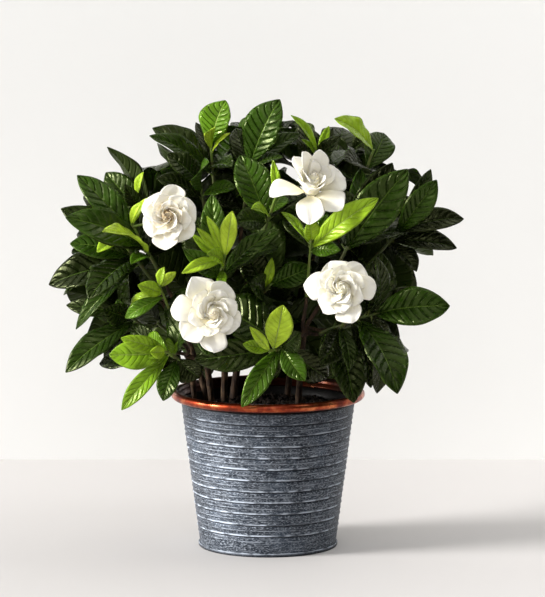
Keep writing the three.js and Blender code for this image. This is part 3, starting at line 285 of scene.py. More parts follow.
def peat_surface(tree, place):
    """Potting mix of peat and composted bark: loose, matt and nearly black, with paler fibres."""
    lumps = add(tree, "TexNoise", {"Vector": place, "Scale": 1 / (3 * MM), "Detail": 5.0, "Roughness": 0.7})
    colour = add(tree, "ValToRGB", [lumps], stops=[(0.3, "#0e0906"), (0.55, "#20150d"), (0.75, "#4a3625")])
    relief = add(tree, "Bump", {"Height": lumps, "Distance": 0.8 * MM})
    return {"Base Color": colour, "Roughness": 0.95, "IOR": 1.4, "Normal": relief}


def clouded(first, second, roughness):
    """A build for flat paint or paper, matt and evenly pale, with faint clouds 300 mm wide."""
    def surface(tree, place):
        clouds = add(tree, "TexNoise", {"Vector": place, "Scale": 1 / (300 * MM)})
        colour = add(tree, "Mix RGBA", {0: clouds, 6: first, 7: second})
        return {"Base Color": colour, "Roughness": roughness}
    return surface


def see_through_back(material):
    """Makes a backdrop's back clear, so that it hides nothing from behind."""
    tree = material.node_tree
    surface = next(n for n in tree.nodes if n.type == "BSDF_PRINCIPLED")
    end = next(n for n in tree.nodes if n.type == "OUTPUT_MATERIAL")
    behind = add(tree, "NewGeometry").outputs["Backfacing"]
    either = add(tree, "MixShader", [behind, surface, add(tree, "BsdfTransparent")])
    tree.links.new(either.outputs[0], end.inputs["Surface"])


LEAF = new_material("waxy_leaf", leaf_surface)
PETAL = new_material("waxy_petal", petal_surface)
STALK = new_material("green_bark", stalk_surface)
BARK = new_material("corky_bark", bark_surface)
ZINC = new_material("whitewashed_zinc", zinc_surface)
COPPER = new_material("tarnished_copper", copper_surface)
PEAT = new_material("peat_mix", peat_surface)
FLOOR_PAINT = new_material("white_table_paint", clouded("#d6d3d1", "#d3d0ce", 0.7))
PAPER = new_material("white_paper", clouded("#eaeae8", "#e8e8e6", 0.9))
see_through_back(PAPER)


# Meshes


class Skin:
    """Points, faces, loose edges and point attributes of one piece, in millimetres."""

    def __init__(self, **defaults):
        self.points = []
        self.faces = []
        self.edges = []
        self.count = 0
        self.defaults = defaults
        self.values = {name: [] for name in defaults}

    def add(self, points, faces=(), edges=(), **values):
        """Adds points with the faces and edges between them, and their attributes where they differ from
        the defaults."""
        points = np.asarray(points, float).reshape(-1, 3)
        self.points.append(points)
        self.faces.extend([[c + self.count for c in face] for face in faces])
        self.edges.extend([[c + self.count for c in edge] for edge in edges])
        for name, default in self.defaults.items():
            size = (len(points), *np.shape(default))
            self.values[name].append(np.array(np.broadcast_to(values.get(name, default), size), float))
        self.count += len(points)

    def mesh(self, name):
        made = bpy.data.meshes.new(name)
        made.from_pydata((np.concatenate(self.points) * MM).tolist(), self.edges, self.faces)
        for key, parts in self.values.items():
            data = np.concatenate(parts)
            kind, field = ("FLOAT_VECTOR", "vector") if data.ndim > 1 else ("FLOAT", "value")
            made.attributes.new(key, kind, "POINT").data.foreach_set(field, data.ravel())
        made.update()
        return made


def ring_faces(rows, columns):
    """Quads of a tube of rows by columns points, closed round its columns and capped at both ends."""
    low = np.arange(rows - 1)[:, None] * columns + np.arange(columns)[None, :]
    right = np.arange(rows - 1)[:, None] * columns + (np.arange(columns)[None, :] + 1) % columns
    quads = np.stack([low, right, right + columns, low + columns], axis=-1).reshape(-1, 4).tolist()
    last = (rows - 1) * columns
    return quads + [list(range(columns))[::-1], list(range(last, last + columns))]


def unit(v):
    return np.asarray(v, float) / np.linalg.norm(v)


def place_piece(name, mesh, replaced):
    """Adds a finished piece that rides on the root and stands for CAD nodes."""
    obj = bpy.data.objects.new(name, mesh)
    bpy.context.scene.collection.objects.link(obj)
    mesh.polygons.foreach_set("use_smooth", [True] * len(mesh.polygons))
    mesh.update()
    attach(obj, "root")
    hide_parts(*replaced)


def shaped(mesh, tree, sizes):
    """The plain mesh that a Geometry Nodes tree makes of a mesh, with the tree's inputs set to sizes."""
    carrier = bpy.data.objects.new(mesh.name + "_carrier", mesh)
    bpy.context.scene.collection.objects.link(carrier)
    modifier = carrier.modifiers.new("shape", "NODES")
    modifier.node_group = tree
    for item in tree.interface.items_tree:
        if item.name in sizes:
            modifier[item.identifier] = sizes[item.name]
    graph = bpy.context.evaluated_depsgraph_get()
    made = bpy.data.meshes.new_from_object(carrier.evaluated_get(graph), depsgraph=graph)
    made.name = mesh.name + "_shaped"
    carrier.modifiers.remove(modifier)
    bpy.data.objects.remove(carrier)
    return made


def new_tree(name, sizes, result="Geometry"):
    """A Geometry Nodes tree with an input for each size, and one for the geometry where it makes geometry.
    Returns the tree and a dict of its input sockets."""
    tree = bpy.data.node_groups.new(name, "GeometryNodeTree")
    interface = tree.interface
    if result == "Geometry":
        interface.new_socket(result, in_out="INPUT", socket_type="NodeSocketGeometry")
    outcome = "NodeSocketGeometry" if result == "Geometry" else "NodeSocketVector"
    interface.new_socket(result, in_out="OUTPUT", socket_type=outcome)
    for key, value in sizes.items():
        kind = "NodeSocketInt" if isinstance(value, int) else "NodeSocketFloat"
        interface.new_socket(key, in_out="INPUT", socket_type=kind).default_value = value
    entry = add(tree, "NodeGroupInput")
    return tree, {socket.name: socket for socket in entry.outputs if socket.name}


def end_tree(tree, geometry, material, others=()):
    """Ends a tree in Realize Instances and Set Material. Others lists further materials, each with the
    selection that it is for."""
    whole = add(tree, "RealizeInstances", [geometry])
    whole = add(tree, "SetMaterial", {"Geometry": whole, "Material": material})
    for other, selection in others:
        whole = add(tree, "SetMaterial", {"Geometry": whole, "Material": other, "Selection": selection})
    add(tree, "NodeGroupOutput", [whole])


def unevenness():
    """A group that gives an offset along the surface's normal by noise of a feature size and depth."""
    tree, sizes = new_tree("unevenness", {"Size": 0.01, "Depth": 0.001, "Seed": 0.0}, "Offset")
    scale = add(tree, "Math DIVIDE", [1.0, sizes["Size"]])
    place = add(tree, "InputPosition")
    inputs = {"Vector": place, "W": sizes["Seed"], "Scale": scale, "Detail": 2.0}
    waves = add(tree, "TexNoise", inputs, noise_dimensions="4D")
    centred = add(tree, "Math SUBTRACT", [waves, 0.5])
    height = add(tree, "Math MULTIPLY", [centred, sizes["Depth"]])
    normal = add(tree, "InputNormal")
    add(tree, "NodeGroupOutput", [add(tree, "VectorMath SCALE", {0: normal, "Scale": height})])
    return tree


UNEVEN = unevenness()


def uneven(tree, geometry, size, depth, seed=0.0, **limits):
    """Pushes a surface in and out by noise. Limits may name the Selection that it is for."""
    push = add(tree, "GeometryNodeGroup", {"Size": size, "Depth": depth, "Seed": seed}, node_tree=UNEVEN)
    return add(tree, "SetPosition", {"Geometry": geometry, "Offset": push, **limits})


# Camera of the photograph

# Focal length, middle and height of the picture in pixels, and the sensor's longer side in millimetres
FOCAL = 4040.0
MIDDLE = (272.5, 298.5)
PICTURE_HIGH = 597
SENSOR = 36.0
# How far the camera looks down from level, and its place in millimetres
PITCH = math.radians(7.93)
EYE = np.array([4.0, -3500.0, 706.0])


def seen(across, down, depth):
    """The point, in millimetres, at a pixel of the photograph and a depth along +Y."""
    right = (across - MIDDLE[0]) / FOCAL
    drop = (down - MIDDLE[1]) / FOCAL
    forward = math.cos(PITCH) - drop * math.sin(PITCH)
    fall = math.sin(PITCH) + drop * math.cos(PITCH)
    reach = (depth - EYE[1]) / forward
    return np.array([EYE[0] + right * reach, depth, EYE[2] - fall * reach])


def pixel(point):
    """Where a point, in millimetres, falls in the photograph."""
    x, y, z = point - EYE
    ahead = y * math.cos(PITCH) - z * math.sin(PITCH)
    down = MIDDLE[1] - FOCAL * (y * math.sin(PITCH) + z * math.cos(PITCH)) / ahead
    return np.array([MIDDLE[0] + FOCAL * x / ahead, down])


camera = bpy.data.objects.new("camera", bpy.data.cameras.new("camera"))
bpy.context.scene.collection.objects.link(camera)
camera.location = EYE * MM
camera.rotation_euler = (math.pi / 2 - PITCH, 0.0, 0.0)
camera.data.sensor_width = SENSOR
camera.data.lens = FOCAL * SENSOR / PICTURE_HIGH
camera.data.clip_end = 50.0
bpy.context.scene.camera = camera


# Plan of the plant, as in the CAD source

FORKS = {
    "mid_left": seen(205, 352, -8), "centre": seen(226, 345, 6), "back_centre": seen(240, 350, 36),
    "back_left": seen(192, 350, 36), "front_left": seen(191, 368, -34), "front_right": seen(303, 340, -30),
    "back_right": seen(294, 345, 30),
}
# For each shoot of the front: its stem, its hub as pixels and depth, and its dark and its young leaves,
# each as (across, down) of its tip in pixels, width in millimetres and tone from 0, dark, to 1, light. A dark
# tone is partly the leaf's age and partly painted shade for a leaf that lies in shadow.
FRONT_SHOOTS = {
    "upper_left": ("mid_left", (139, 238, -62),
        [(103, 231, 22, 0.95), (131, 263, 14, 0.5), (61, 208, 27, 0.1), (66, 217, 30, 0.25),
         (98, 152, 30, 0.32), (77, 175, 26, 0.3), (147, 196, 16, 0.1)],
        [(141, 202, 8, 0.9), (152, 196, 8, 0.9)]),
    "shoulder_left": ("back_left", (143, 212, -15),
        [(108, 146, 26, 0), (120, 165, 26, 0.2), (141, 183, 16, 0.1)],
        [(143, 172, 9, 0.85)]),
    "far_left": ("mid_left", (129, 251, -50),
        [(48, 284, 32, 0.05), (88, 298, 32, 0.15), (75, 329, 16, 0.25), (70, 243, 24, 0.3)],
        [(58, 299, 10, 0.8), (97, 252, 14, 0.8)]),
    "low_left": ("front_left", (125, 313, -30),
        [(65, 372, 25, 0.2), (66, 305, 16, 0.1), (104, 309, 22, 0.15), (118, 299, 12, 0.45)],
        []),
    "foot_left": ("front_left", (172, 356, -72),
        [(163, 401, 20, 0.3), (200, 378, 24, 0.05), (130, 325, 22, 0.1), (176, 333, 16, 0.6)],
        [(121, 410, 17, 0.6), (109, 355, 26, 0.62), (148, 334, 18, 0.56), (121, 338, 16, 0.7),
         (150, 352, 12, 0.8), (160, 345, 10, 0.65)]),
    "inner_left": ("front_left", (165, 300, -65),
        [],
        [(125, 318, 14, 0.5), (138, 285, 14, 0.78), (141, 298, 12, 0.9), (140, 320, 12, 0.8),
         (164, 267, 9, 0.8), (176, 272, 9, 0.95)]),
    "mid_left": ("front_left", (222, 330, -70),
        [(207, 354, 24, 0.2), (182, 300, 20, 0.1), (240, 300, 20, 0.1)],
        []),
    "mid_front": ("mid_left", (223, 268, -82),
        [(279, 229, 18, 0.2), (184, 250, 18, 0.38), (212, 194, 22, 0.35), (222, 290, 9, 0.6)],
        [(208, 254, 16, 0.74), (182, 273, 12, 0.85), (232, 211, 15, 1), (197, 228, 8, 0.85),
         (207, 216, 9, 0.85), (192, 234, 9, 0.8)]),
    "top_left": ("centre", (212, 162, -5),
        [(153, 127, 28, 0.12), (150, 135, 22, 0.2), (232, 166, 22, 0.18), (196, 122, 12, 0)],
        [(225, 100, 32, 0.52), (214, 127, 12, 1), (230, 133, 8, 1)]),
    "high_left": ("centre", (200, 183, -25),
        [(243, 208, 26, 0), (157, 178, 22, 0.05), (167, 154, 24, 0.1), (208, 162, 24, 0.35),
         (237, 187, 16, 0.4)],
        []),
    "top_centre": ("centre", (250, 165, -15),
        [(279, 99, 36, 0.28), (236, 128, 22, 0.05), (300, 133, 20, 0.2), (283, 157, 14, 0.2)],
        []),
    "high_front": ("centre", (271, 212, -62),
        [(235, 222, 24, 0.15), (240, 155, 32, 0.32), (252, 208, 14, 0.76), (283, 195, 18, 0.5)],
        [(273, 160, 8, 0.75)]),
    "centre_right": ("front_right", (310, 255, -75),
        [],
        [(340, 250, 16, 0.42), (285, 215, 22, 0.1), (378, 198, 22, 0.78), (310, 219, 15, 0.8),
         (297, 207, 8, 0.7), (328, 214, 8, 0.5)]),
    "top_right": ("back_right", (315, 170, 10),
        [(300, 122, 24, 0.05), (341, 135, 20, 0.05), (317, 127, 9, 0)],
        [(291, 115, 11, 0.75), (310, 138, 9, 0.7), (329, 126, 8, 0.75)]),
    "shoulder_right": ("back_right", (368, 165, 5),
        [(345, 160, 30, 0), (384, 133, 27, 0.25)],
        [(335, 118, 24, 0.8)]),
    "high_right": ("front_right", (352, 238, -45),
        [(345, 190, 24, 0.05), (408, 169, 38, 0.22), (369, 170, 20, 0.3), (385, 160, 30, 0)],
        []),
    "far_right": ("back_right", (400, 232, 0),
        [(417, 271, 22, 0), (457, 248, 22, 0), (464, 218, 22, 0), (431, 169, 18, 0.1),
         (437, 180, 24, 0.25), (419, 231, 9, 0)],
        []),
    "mid_right": ("front_right", (374, 314, -45),
        [(392, 342, 20, 0.05), (372, 388, 22, 0.05), (398, 393, 38, 0.2), (450, 306, 34, 0.25),
         (421, 291, 24, 0), (381, 252, 34, 0.1), (362, 262, 20, 0.1), (378, 394, 26, 0.0)],
        []),
    "low_right": ("front_right", (345, 325, -55),
        [(354, 403, 32, 0.1), (320, 365, 24, 0.05), (350, 370, 16, 0.15), (337, 370, 22, 0.1)],
        []),
    "foot_centre": ("front_right", (276, 350, -88),
        [(194, 360, 28, 0.1), (242, 407, 20, 0.4), (305, 381, 20, 0.35), (300, 332, 22, 0.15),
         (328, 378, 26, 0.0), (258, 380, 22, 0.05)],
        [(283, 305, 24, 0.95), (243, 344, 12, 0.7), (250, 327, 9, 0.9)]),
    "deep_front": ("centre", (270, 285, -55),
        [(250, 283, 26, 0.15), (312, 267, 22, 0.3), (238, 300, 24, 0.1), (272, 258, 9, 0.8),
         (252, 246, 26, 0.05)],
        []),
}
# For each shoot of the back and the inside: its stem and its hub in millimetres.
BACK_SHOOTS = {
    "back_low_right": ("back_right", (96, 40, 196)), "back_low_mid_right": ("back_right", (42, 92, 190)),
    "back_low_mid_left": ("back_centre", (-56, 92, 192)), "back_low_left": ("back_left", (-112, 42, 200)),
    "back_mid_right": ("back_right", (92, 62, 262)), "back_mid_centre": ("back_centre", (18, 108, 256)),
    "back_mid_left": ("back_centre", (-66, 84, 258)), "back_far_left": ("back_left", (-124, 34, 264)),
    "back_high_right": ("back_right", (56, 56, 322)), "back_high_centre": ("back_centre", (-8, 64, 326)),
    "back_high_left": ("back_left", (-78, 44, 318)), "inner_low": ("centre", (-2, 2, 196)),
    "inner_mid": ("centre", (14, 12, 262)), "inner_left": ("mid_left", (-62, 6, 232)),
}
# Small leaves deep in the crown that the CAD leaves out, by the spray that bears them: base and tip as
# pixels, depth and width.
INNER_LEAVES = {
    "spray_back_high_centre": [((220, 211), (254, 184), 58, 25)],
    "spray_back_mid_right": [((346, 246), (374, 273), 58, 24)],
    "spray_back_high_right": [((334, 184), (360, 194), 58, 16), ((352, 150), (370, 138), 58, 14)],
    "spray_back_low_mid_right": [((329, 350), (333, 382), 84, 17)],
    "spray_back_low_mid_left": [((204, 350), (202, 380), 84, 15)],
    "spray_back_low_left": [((163, 350), (172, 370), 50, 16)],
    "spray_inner_low": [((279, 352), (283, 378), 30, 14)],
}
# For each bloom: centre as pixels and depth, the way it faces, its size, how brown its eye is, the node
# that bears it and that node's shoot.
BLOOMS = {
    "upper_left": ((169, 217, -105), (-0.15, -0.95, 0.25), 0.95, 0.75, "tip_upper_left", "upper_left"),
    "upper_right": ((312, 186, -90), (0.15, -0.65, 0.75), 1.0, 0.1, "tip_centre_right", "centre_right"),
    "lower_right": ((342, 288, -110), (-0.1, -0.97, 0.15), 0.97, 0.05, "spray_low_right", "low_right"),
    "lower_left": ((212, 312, -115), (0.1, -0.98, 0.1), 1.0, 0.15, "spray_mid_left", "mid_left"),
}
# Lengths, radii and thicknesses in millimetres, as in the CAD source
BLOOM_TUBE = 22.0
CORE_HEIGHT = 8.0
TWIG_LENGTH = 44.0
TWIG_SHARE = 0.6
YOUNG_LENGTH = 15.0
TWIG_RADIUS = 1.6
TWIG_TIP_RADIUS = 1.25
BLADE_THICK = 1.3
BLADE_BOW = 0.1
PETAL_THICK = 1.2


def shoot_axis(stem, hub):
    """Start and way of the twig that ends at a hub."""
    reach = hub - FORKS[stem]
    far = np.linalg.norm(reach)
    way = reach / far
    return hub - way * min(TWIG_LENGTH, far * TWIG_SHARE), way


# Leaves, read back from their CAD nodes


def welded(name):
    """A CAD node's corner points in millimetres, each once, and the set of neighbours of each."""
    mesh = nodes[name].data
    places = np.empty(3 * len(mesh.vertices), np.float32)
    mesh.vertices.foreach_get("co", places)
    places = places.reshape(-1, 3).astype(float) / MM
    _, first, index = np.unique(np.round(places, 2), axis=0, return_index=True, return_inverse=True)
    corners = np.empty(len(mesh.loops), np.int32)
    mesh.loops.foreach_get("vertex_index", corners)
    near = [set() for _ in first]
    for a, b, c in index.reshape(-1)[corners].reshape(-1, 3):
        near[a].update((b, c))
        near[b].update((c, a))
        near[c].update((a, b))
    for k, others in enumerate(near):
        others.discard(k)
    return places[first], near


def half_width(t):
    """Half-width of a leaf at a share t of its length, as a share of its greatest half-width."""
    return np.sin(np.pi * np.clip(t, 0, 1) ** 1.2)


# How far off a leaf that is read may be, in millimetres: its keel's thickness, its width, the lift of its
# edges and its chord's slope
THICKNESS_SLACK = 0.03
WIDTH_SLACK = 0.05
LIFT_SLACK = 0.06
CHORD_SLACK = 0.6
CHORD_ROUNDS = 60
# Last ring of points before the tip of a CAD leaf: its share of the length, how far its edges are raised,
# the widths that it goes with, and whether such a leaf stands behind the others.
LAST_RINGS = (
    (0.86, 0.22, 17.0, 99.0, False), (0.82, 0.34, 10.0, 17.0, False), (0.67, 0.2, 0.0, 10.0, False),
    (0.7, 0.28, 17.0, 99.0, True),
)


def read_leaves(name):
    """The leaves of a CAD node: base, tip, upper way and width of each, and whether it stands behind."""
    points, near = welded(name)
    found = []
    for tip, around in enumerate(near):
        if len(around) != 4:
            continue
        ring = [min(around)]
        while len(ring) < 4:
            step = [q for q in sorted(near[ring[-1]] & around) if q not in ring]
            if not step:
                break
            ring.append(step[0])
        if len(ring) < 4 or ring[0] not in near[ring[3]]:
            continue
        choices = []
        for turn in (0, 1, 2, 3):
            a, b, c, d = (points[ring[(k + turn) % 4]] for k in range(4))
            upper = unit(b - d)
            if abs(np.linalg.norm(b - d) - BLADE_THICK) > THICKNESS_SLACK:
                continue
            half = np.linalg.norm(a - c) / 2
            middle = (b + d) / 2
            raised = ((a + c) / 2 - middle) @ upper
            for t, lift, least, most, behind in LAST_RINGS:
                width = 2 * half / half_width(t)
                error = abs(raised - half * lift)
                if not least <= width + WIDTH_SLACK < most or error > LIFT_SLACK:
                    continue
                length = 50.0
                for _ in range(CHORD_ROUNDS):
                    base = (middle - points[tip] * t - upper * BLADE_BOW * length * 4 * t * (1 - t)) / (1 - t)
                    length = np.linalg.norm(points[tip] - base)
                if abs((points[tip] - base) @ upper) < CHORD_SLACK:
                    choices.append((error, (base, points[tip], upper, width, behind)))
        if choices:
            found.append(min(choices, key=lambda choice: choice[0])[1])
    return sorted(found, key=lambda leaf: tuple(np.round(leaf[1], 1)))


def inner_leaves(name):
    """The small leaves deep in the crown that a node bears, as read_leaves gives them."""
    found = []
    for base, tip, depth, width in INNER_LEAVES.get(name, ()):
        low, high = seen(*base, depth), seen(*tip, depth)
        way = unit(high - low)
        upper = np.array([0.0, -0.85, 0.5])
        found.append((low, high, unit(upper - way * (way @ upper)), width, True))
    return found


# Rows along and columns across a leaf, by its least width in millimetres, and for one that stands behind
LEAF_GRIDS = ((17.0, 46, 12), (10.0, 26, 8), (0.0, 18, 6))
BEHIND_GRID = (0.0, 28, 8)
# Shares of a leaf's length between which its blade lies
BLADE_SPAN = (0.035, 0.996)
# How much wider a leaf that stands behind is than its CAD blade, so that the crown has no holes
BEHIND_WIDER = 1.36
# The lower, the fuller a leaf is towards its ends
FULLNESS = 0.74
# Pairs of side veins of a leaf, and of one less than 10 mm wide
VEIN_PAIRS = 9.0
SMALL_WIDTH = 10.0
SMALL_VEIN_PAIRS = 6.0
# How far a side vein runs forward on its way to the margin, as a share of the leaf's length
VEIN_SWEEP = 0.2
# Width in millimetres from which a leaf has bold side veins
BOLD_WIDTH = 31.0
MIDRIB_DEPTH = 0.6
MIDRIB_HALF_WIDTH = 0.9
LEAF_HALF_THICK = 0.3
# Height of a leaf's edges over its midrib, by the share of its length, in half-widths
EDGE_LIFT = ([0, 0.13, 0.36, 0.62, 0.86, 1], [0.3, 0.3, 0.2, 0.34, 0.22, 0.1])


def blade_columns(columns, crowding=1.0):
    """Places across a blade, from edge to edge and back underneath, and which of them are underneath."""
    s = np.linspace(-1, 1, columns + 1)
    s = np.sign(s) * np.abs(s) ** crowding
    under = np.concatenate([np.zeros(columns + 1), np.ones(columns - 1)])
    return np.concatenate([s, s[-2:0:-1]])[None, :], under[None, :]


def fine_leaf(skin, leaf, tone):
    """Adds a leaf with a wavy margin, a sunk midrib and quilting between its side veins. Along it, t goes
    from 0 to 1, and across it, u goes from -1 to 1."""
    base, tip, upper, width, behind = leaf
    _, rows, columns = BEHIND_GRID if behind else next(g for g in LEAF_GRIDS if width >= g[0] - 0.1)
    chord = tip - base
    length = np.linalg.norm(chord)
    side = np.cross(chord / length, upper)
    t = np.linspace(*BLADE_SPAN, rows)[:, None]
    u, under = blade_columns(columns, 1.2)
    wide = np.abs(u)
    half = 0.5 * width * (BEHIND_WIDER if behind else 1.0) * half_width(t) ** FULLNESS
    half = np.maximum(half * (1 - 0.2 * np.clip((t - 0.88) / 0.12, 0, 1) ** 2), 0.5)
    phases = rng.uniform(0, 2 * np.pi, 4)
    wave = rng.uniform(0.03, 0.09)
    bold = 1.0 if width >= BOLD_WIDTH else rng.uniform(0.25, 0.9)
    quilt = min(1.15, 0.032 * width + 0.12) * (0.4 + 0.6 * bold)
    pairs = VEIN_PAIRS if width >= SMALL_WIDTH else SMALL_VEIN_PAIRS
    phase = pairs * (t - VEIN_SWEEP * wide ** 1.2) + 0.5
    height = half * np.interp(t, *EDGE_LIFT) * wide ** 1.4
    right, left = (np.sin(2 * np.pi * n * t + start) for n, start in zip((3.1, 2.7), phases))
    height = height + wave * half * wide ** 2.5 * (right * (u > 0) + left * (u < 0))
    swell = np.abs(np.sin(np.pi * phase)) ** 0.8 * np.minimum(1, wide * 4) * (1 - wide ** 6)
    height = height + quilt * (swell - 0.4) * np.minimum(1, half / 4)
    midrib = np.exp(-((u * half / MIDRIB_HALF_WIDTH) ** 2))
    height = height - MIDRIB_DEPTH * midrib * np.minimum(1, half / 3)
    thick = LEAF_HALF_THICK * (1 - 0.7 * wide ** 2)
    height = height + np.where(under > 0, -thick, thick)
    sway = rng.uniform(-0.025, 0.025) * length * np.sin(np.pi * t)
    droop = rng.uniform(0.0, 0.03) * length * np.clip((t - 0.65) / 0.35, 0, 1) ** 2
    bow = BLADE_BOW * length * 4 * t * (1 - t) - droop
    points = (
        base + chord * t[..., None] + upper * (bow + height)[..., None]
        + side * (u * half + sway)[..., None]
    )
    blade = np.stack(np.broadcast_arrays(phase, u, under), axis=-1).reshape(-1, 3)
    skin.add(points, ring_faces(rows, 2 * columns), tone=tone, blade=blade, bold=bold)


def add_path(skin, points, radii, tone):
    """Adds a stalk's path as loose edges."""
    points = np.asarray(points, float)
    edges = [(k, k + 1) for k in range(len(points) - 1)]
    skin.add(points, edges=edges, tone=tone, thick=np.asarray(radii, float))


def bowed(start, end, bow, count):
    """Points from start to end, bowed by a vector at the middle."""
    t = np.linspace(0, 1, count)[:, None]
    return start + (end - start) * t + np.asarray(bow) * 4 * t * (1 - t)


STALK_SIZES = {"Knot size": 0.004, "Knot depth": 0.0006, "Sides": 10}


def stalk_tree():
    """Turns loose paths into knotty green stalks and leaves the blades as they are."""
    tree, sizes = new_tree("green_stalks", STALK_SIZES)
    faces = add(tree, "InputMeshEdgeNeighbors")
    loose = add(tree, "Compare", {2: faces, 3: 0}, data_type="INT", operation="EQUAL")
    paths = add(tree, "MeshToCurve", {"Mesh": sizes["Geometry"], "Selection": loose})
    thick = add(tree, "InputNamedAttribute FLOAT", {"Name": "thick"})
    profile = add(tree, "CurvePrimitiveCircle", {"Resolution": sizes["Sides"], "Radius": MM})
    tubes = add(tree, "CurveToMesh", {
        "Curve": paths, "Profile Curve": profile, "Scale": thick, "Fill Caps": True,
    })
    knotted = uneven(tree, tubes, sizes["Knot size"], sizes["Knot depth"])
    marked = add(tree, "StoreNamedAttribute", {
        "Geometry": knotted, "Name": "stalk", "Value": True,
    }, data_type="BOOLEAN", domain="POINT")
    blades = add(tree, "DeleteGeometry", {
        "Geometry": sizes["Geometry"], "Selection": loose,
    }, domain="EDGE", mode="ALL")
    both = add(tree, "JoinGeometry", {"Geometry": [marked, blades]})
    stalk = add(tree, "InputNamedAttribute BOOLEAN", {"Name": "stalk"})
    end_tree(tree, both, LEAF, [(STALK, stalk)])
    return tree


STALKS = stalk_tree()

# How many pixels off a millimetre of width is worth when leaves are matched, and the worst match that counts
WIDTH_WORTH = 20
WORST_MATCH = 40
# Tones of leaves deep in or behind the crown: dark, as painted shade.
HIDDEN_SHADE_TONES = (0.0, 0.22)


def planned(name):
    """The plan of the front shoot that a node is part of, or None at the back and the inside."""
    return None if name == "spray_inner_left" else FRONT_SHOOTS.get(name.split("_", 1)[1])


def matched_tones(name, leaves):
    """A tone for each leaf of a node: the planned one for a leaf that the photograph shows, and a dark one,
    painted shade, for the others."""
    plan = planned(name)
    tones = [None] * len(leaves)
    if plan:
        shown = plan[2 if name.startswith("spray_") else 3]
        pairs = []
        for i, (across, down, width, _) in enumerate(shown):
            for j, (_, tip, _, read, _) in enumerate(leaves):
                far = np.linalg.norm(pixel(tip) - (across, down)) + WIDTH_WORTH * abs(read - width)
                pairs.append((far, i, j))
        used = set()
        for far, i, j in sorted(pairs):
            if far < WORST_MATCH and i not in used and tones[j] is None:
                used.add(i)
                tones[j] = shown[i][3]
    return [rng.uniform(*HIDDEN_SHADE_TONES) if tone is None else tone for tone in tones]


# Radii of a petiole, as shares of its own, and of a bloom's stalk, in millimetres, from the twig outwards
PETIOLE_RADII = np.array([1.3, 1.0, 1.0, 1.0, 1.0, 0.7])
BLOOM_STALK_RADII = (1.2, 1.2, 1.2, 1.2, 1.2, 1.2, 1.4, 1.6, 2.0, 2.6, 2.9)
# Share of a leaf's length that its petiole runs under the midrib
PETIOLE_REACH = 0.09
# Length of the straight neck below a bloom's tube
NECK_LENGTH = 7.0
TWIG_POINTS = 14
TWIG_TONE = 0.2
YOUNG_TONE = 0.8
BLOOM_STALK_TONE = 0.6
YOUNG_END_RADIUS = 0.9


def build_shoot(name):
    """Builds the fine piece of one spray or young tip: leaves, twig, petioles and a bloom's stalk."""
    young = name.startswith("tip_")
    plan = planned(name)
    if plan:
        stem, hub_pixel, dark, _ = plan
        hub = seen(*hub_pixel)
    else:
        stem, hub = BACK_SHOOTS[name.split("_", 1)[1]]
        hub = np.array(hub, float)
    start, way = shoot_axis(stem, hub)
    leaves = read_leaves(name) + inner_leaves(name)
    skin = Skin(tone=0.0, blade=(0.0, 0.0, 0.0), thick=0.0, bold=0.0)
    first, last, radii = start, hub, (TWIG_RADIUS, TWIG_TIP_RADIUS)
    if young:
        # A young tip grows on from the dark spray's twig, where its shoot has one.
        first = hub if dark else start
        last = hub + way * YOUNG_LENGTH
        radii = (TWIG_TIP_RADIUS if dark else TWIG_RADIUS, YOUNG_END_RADIUS)
    twig = bowed(first, last, UP * 1.2, TWIG_POINTS)
    add_path(skin, twig, np.linspace(*radii, TWIG_POINTS), YOUNG_TONE if young else TWIG_TONE)
    for leaf, tone in zip(leaves, matched_tones(name, leaves)):
        base, tip, upper, width, _ = leaf
        near = twig[np.argmin(np.linalg.norm(twig - base, axis=1))]
        inner = base + (tip - base) * PETIOLE_REACH + upper * 0.3
        path = bowed(near, inner, upper * 0.4, len(PETIOLE_RADII))
        add_path(skin, path, PETIOLE_RADII * (0.55 + 0.012 * width), 0.4 + 0.5 * tone)
        fine_leaf(skin, leaf, tone)
    for centre, facing_way, size, _, bearer, _ in BLOOMS.values():
        if bearer == name:
            ahead = unit(facing_way)
            seat = seen(*centre) - ahead * BLOOM_TUBE * size
            neck = seat - ahead * NECK_LENGTH
            stalk = np.vstack([bowed(last - way * 2, neck, UP, 8), bowed(neck, seat, UP * 0, 4)[1:]])
            add_path(skin, stalk, BLOOM_STALK_RADII, BLOOM_STALK_TONE)
    mesh = shaped(skin.mesh(name), STALKS, STALK_SIZES)
    place_piece(name + "_fine", mesh, [name])


# Blooms


# How far off a petal that is read may be, in millimetres: its thickness and its middle, and its least width
PETAL_SLACK = 0.01
MIDDLE_SLACK = 0.3
LEAST_WIDTH = 4.0


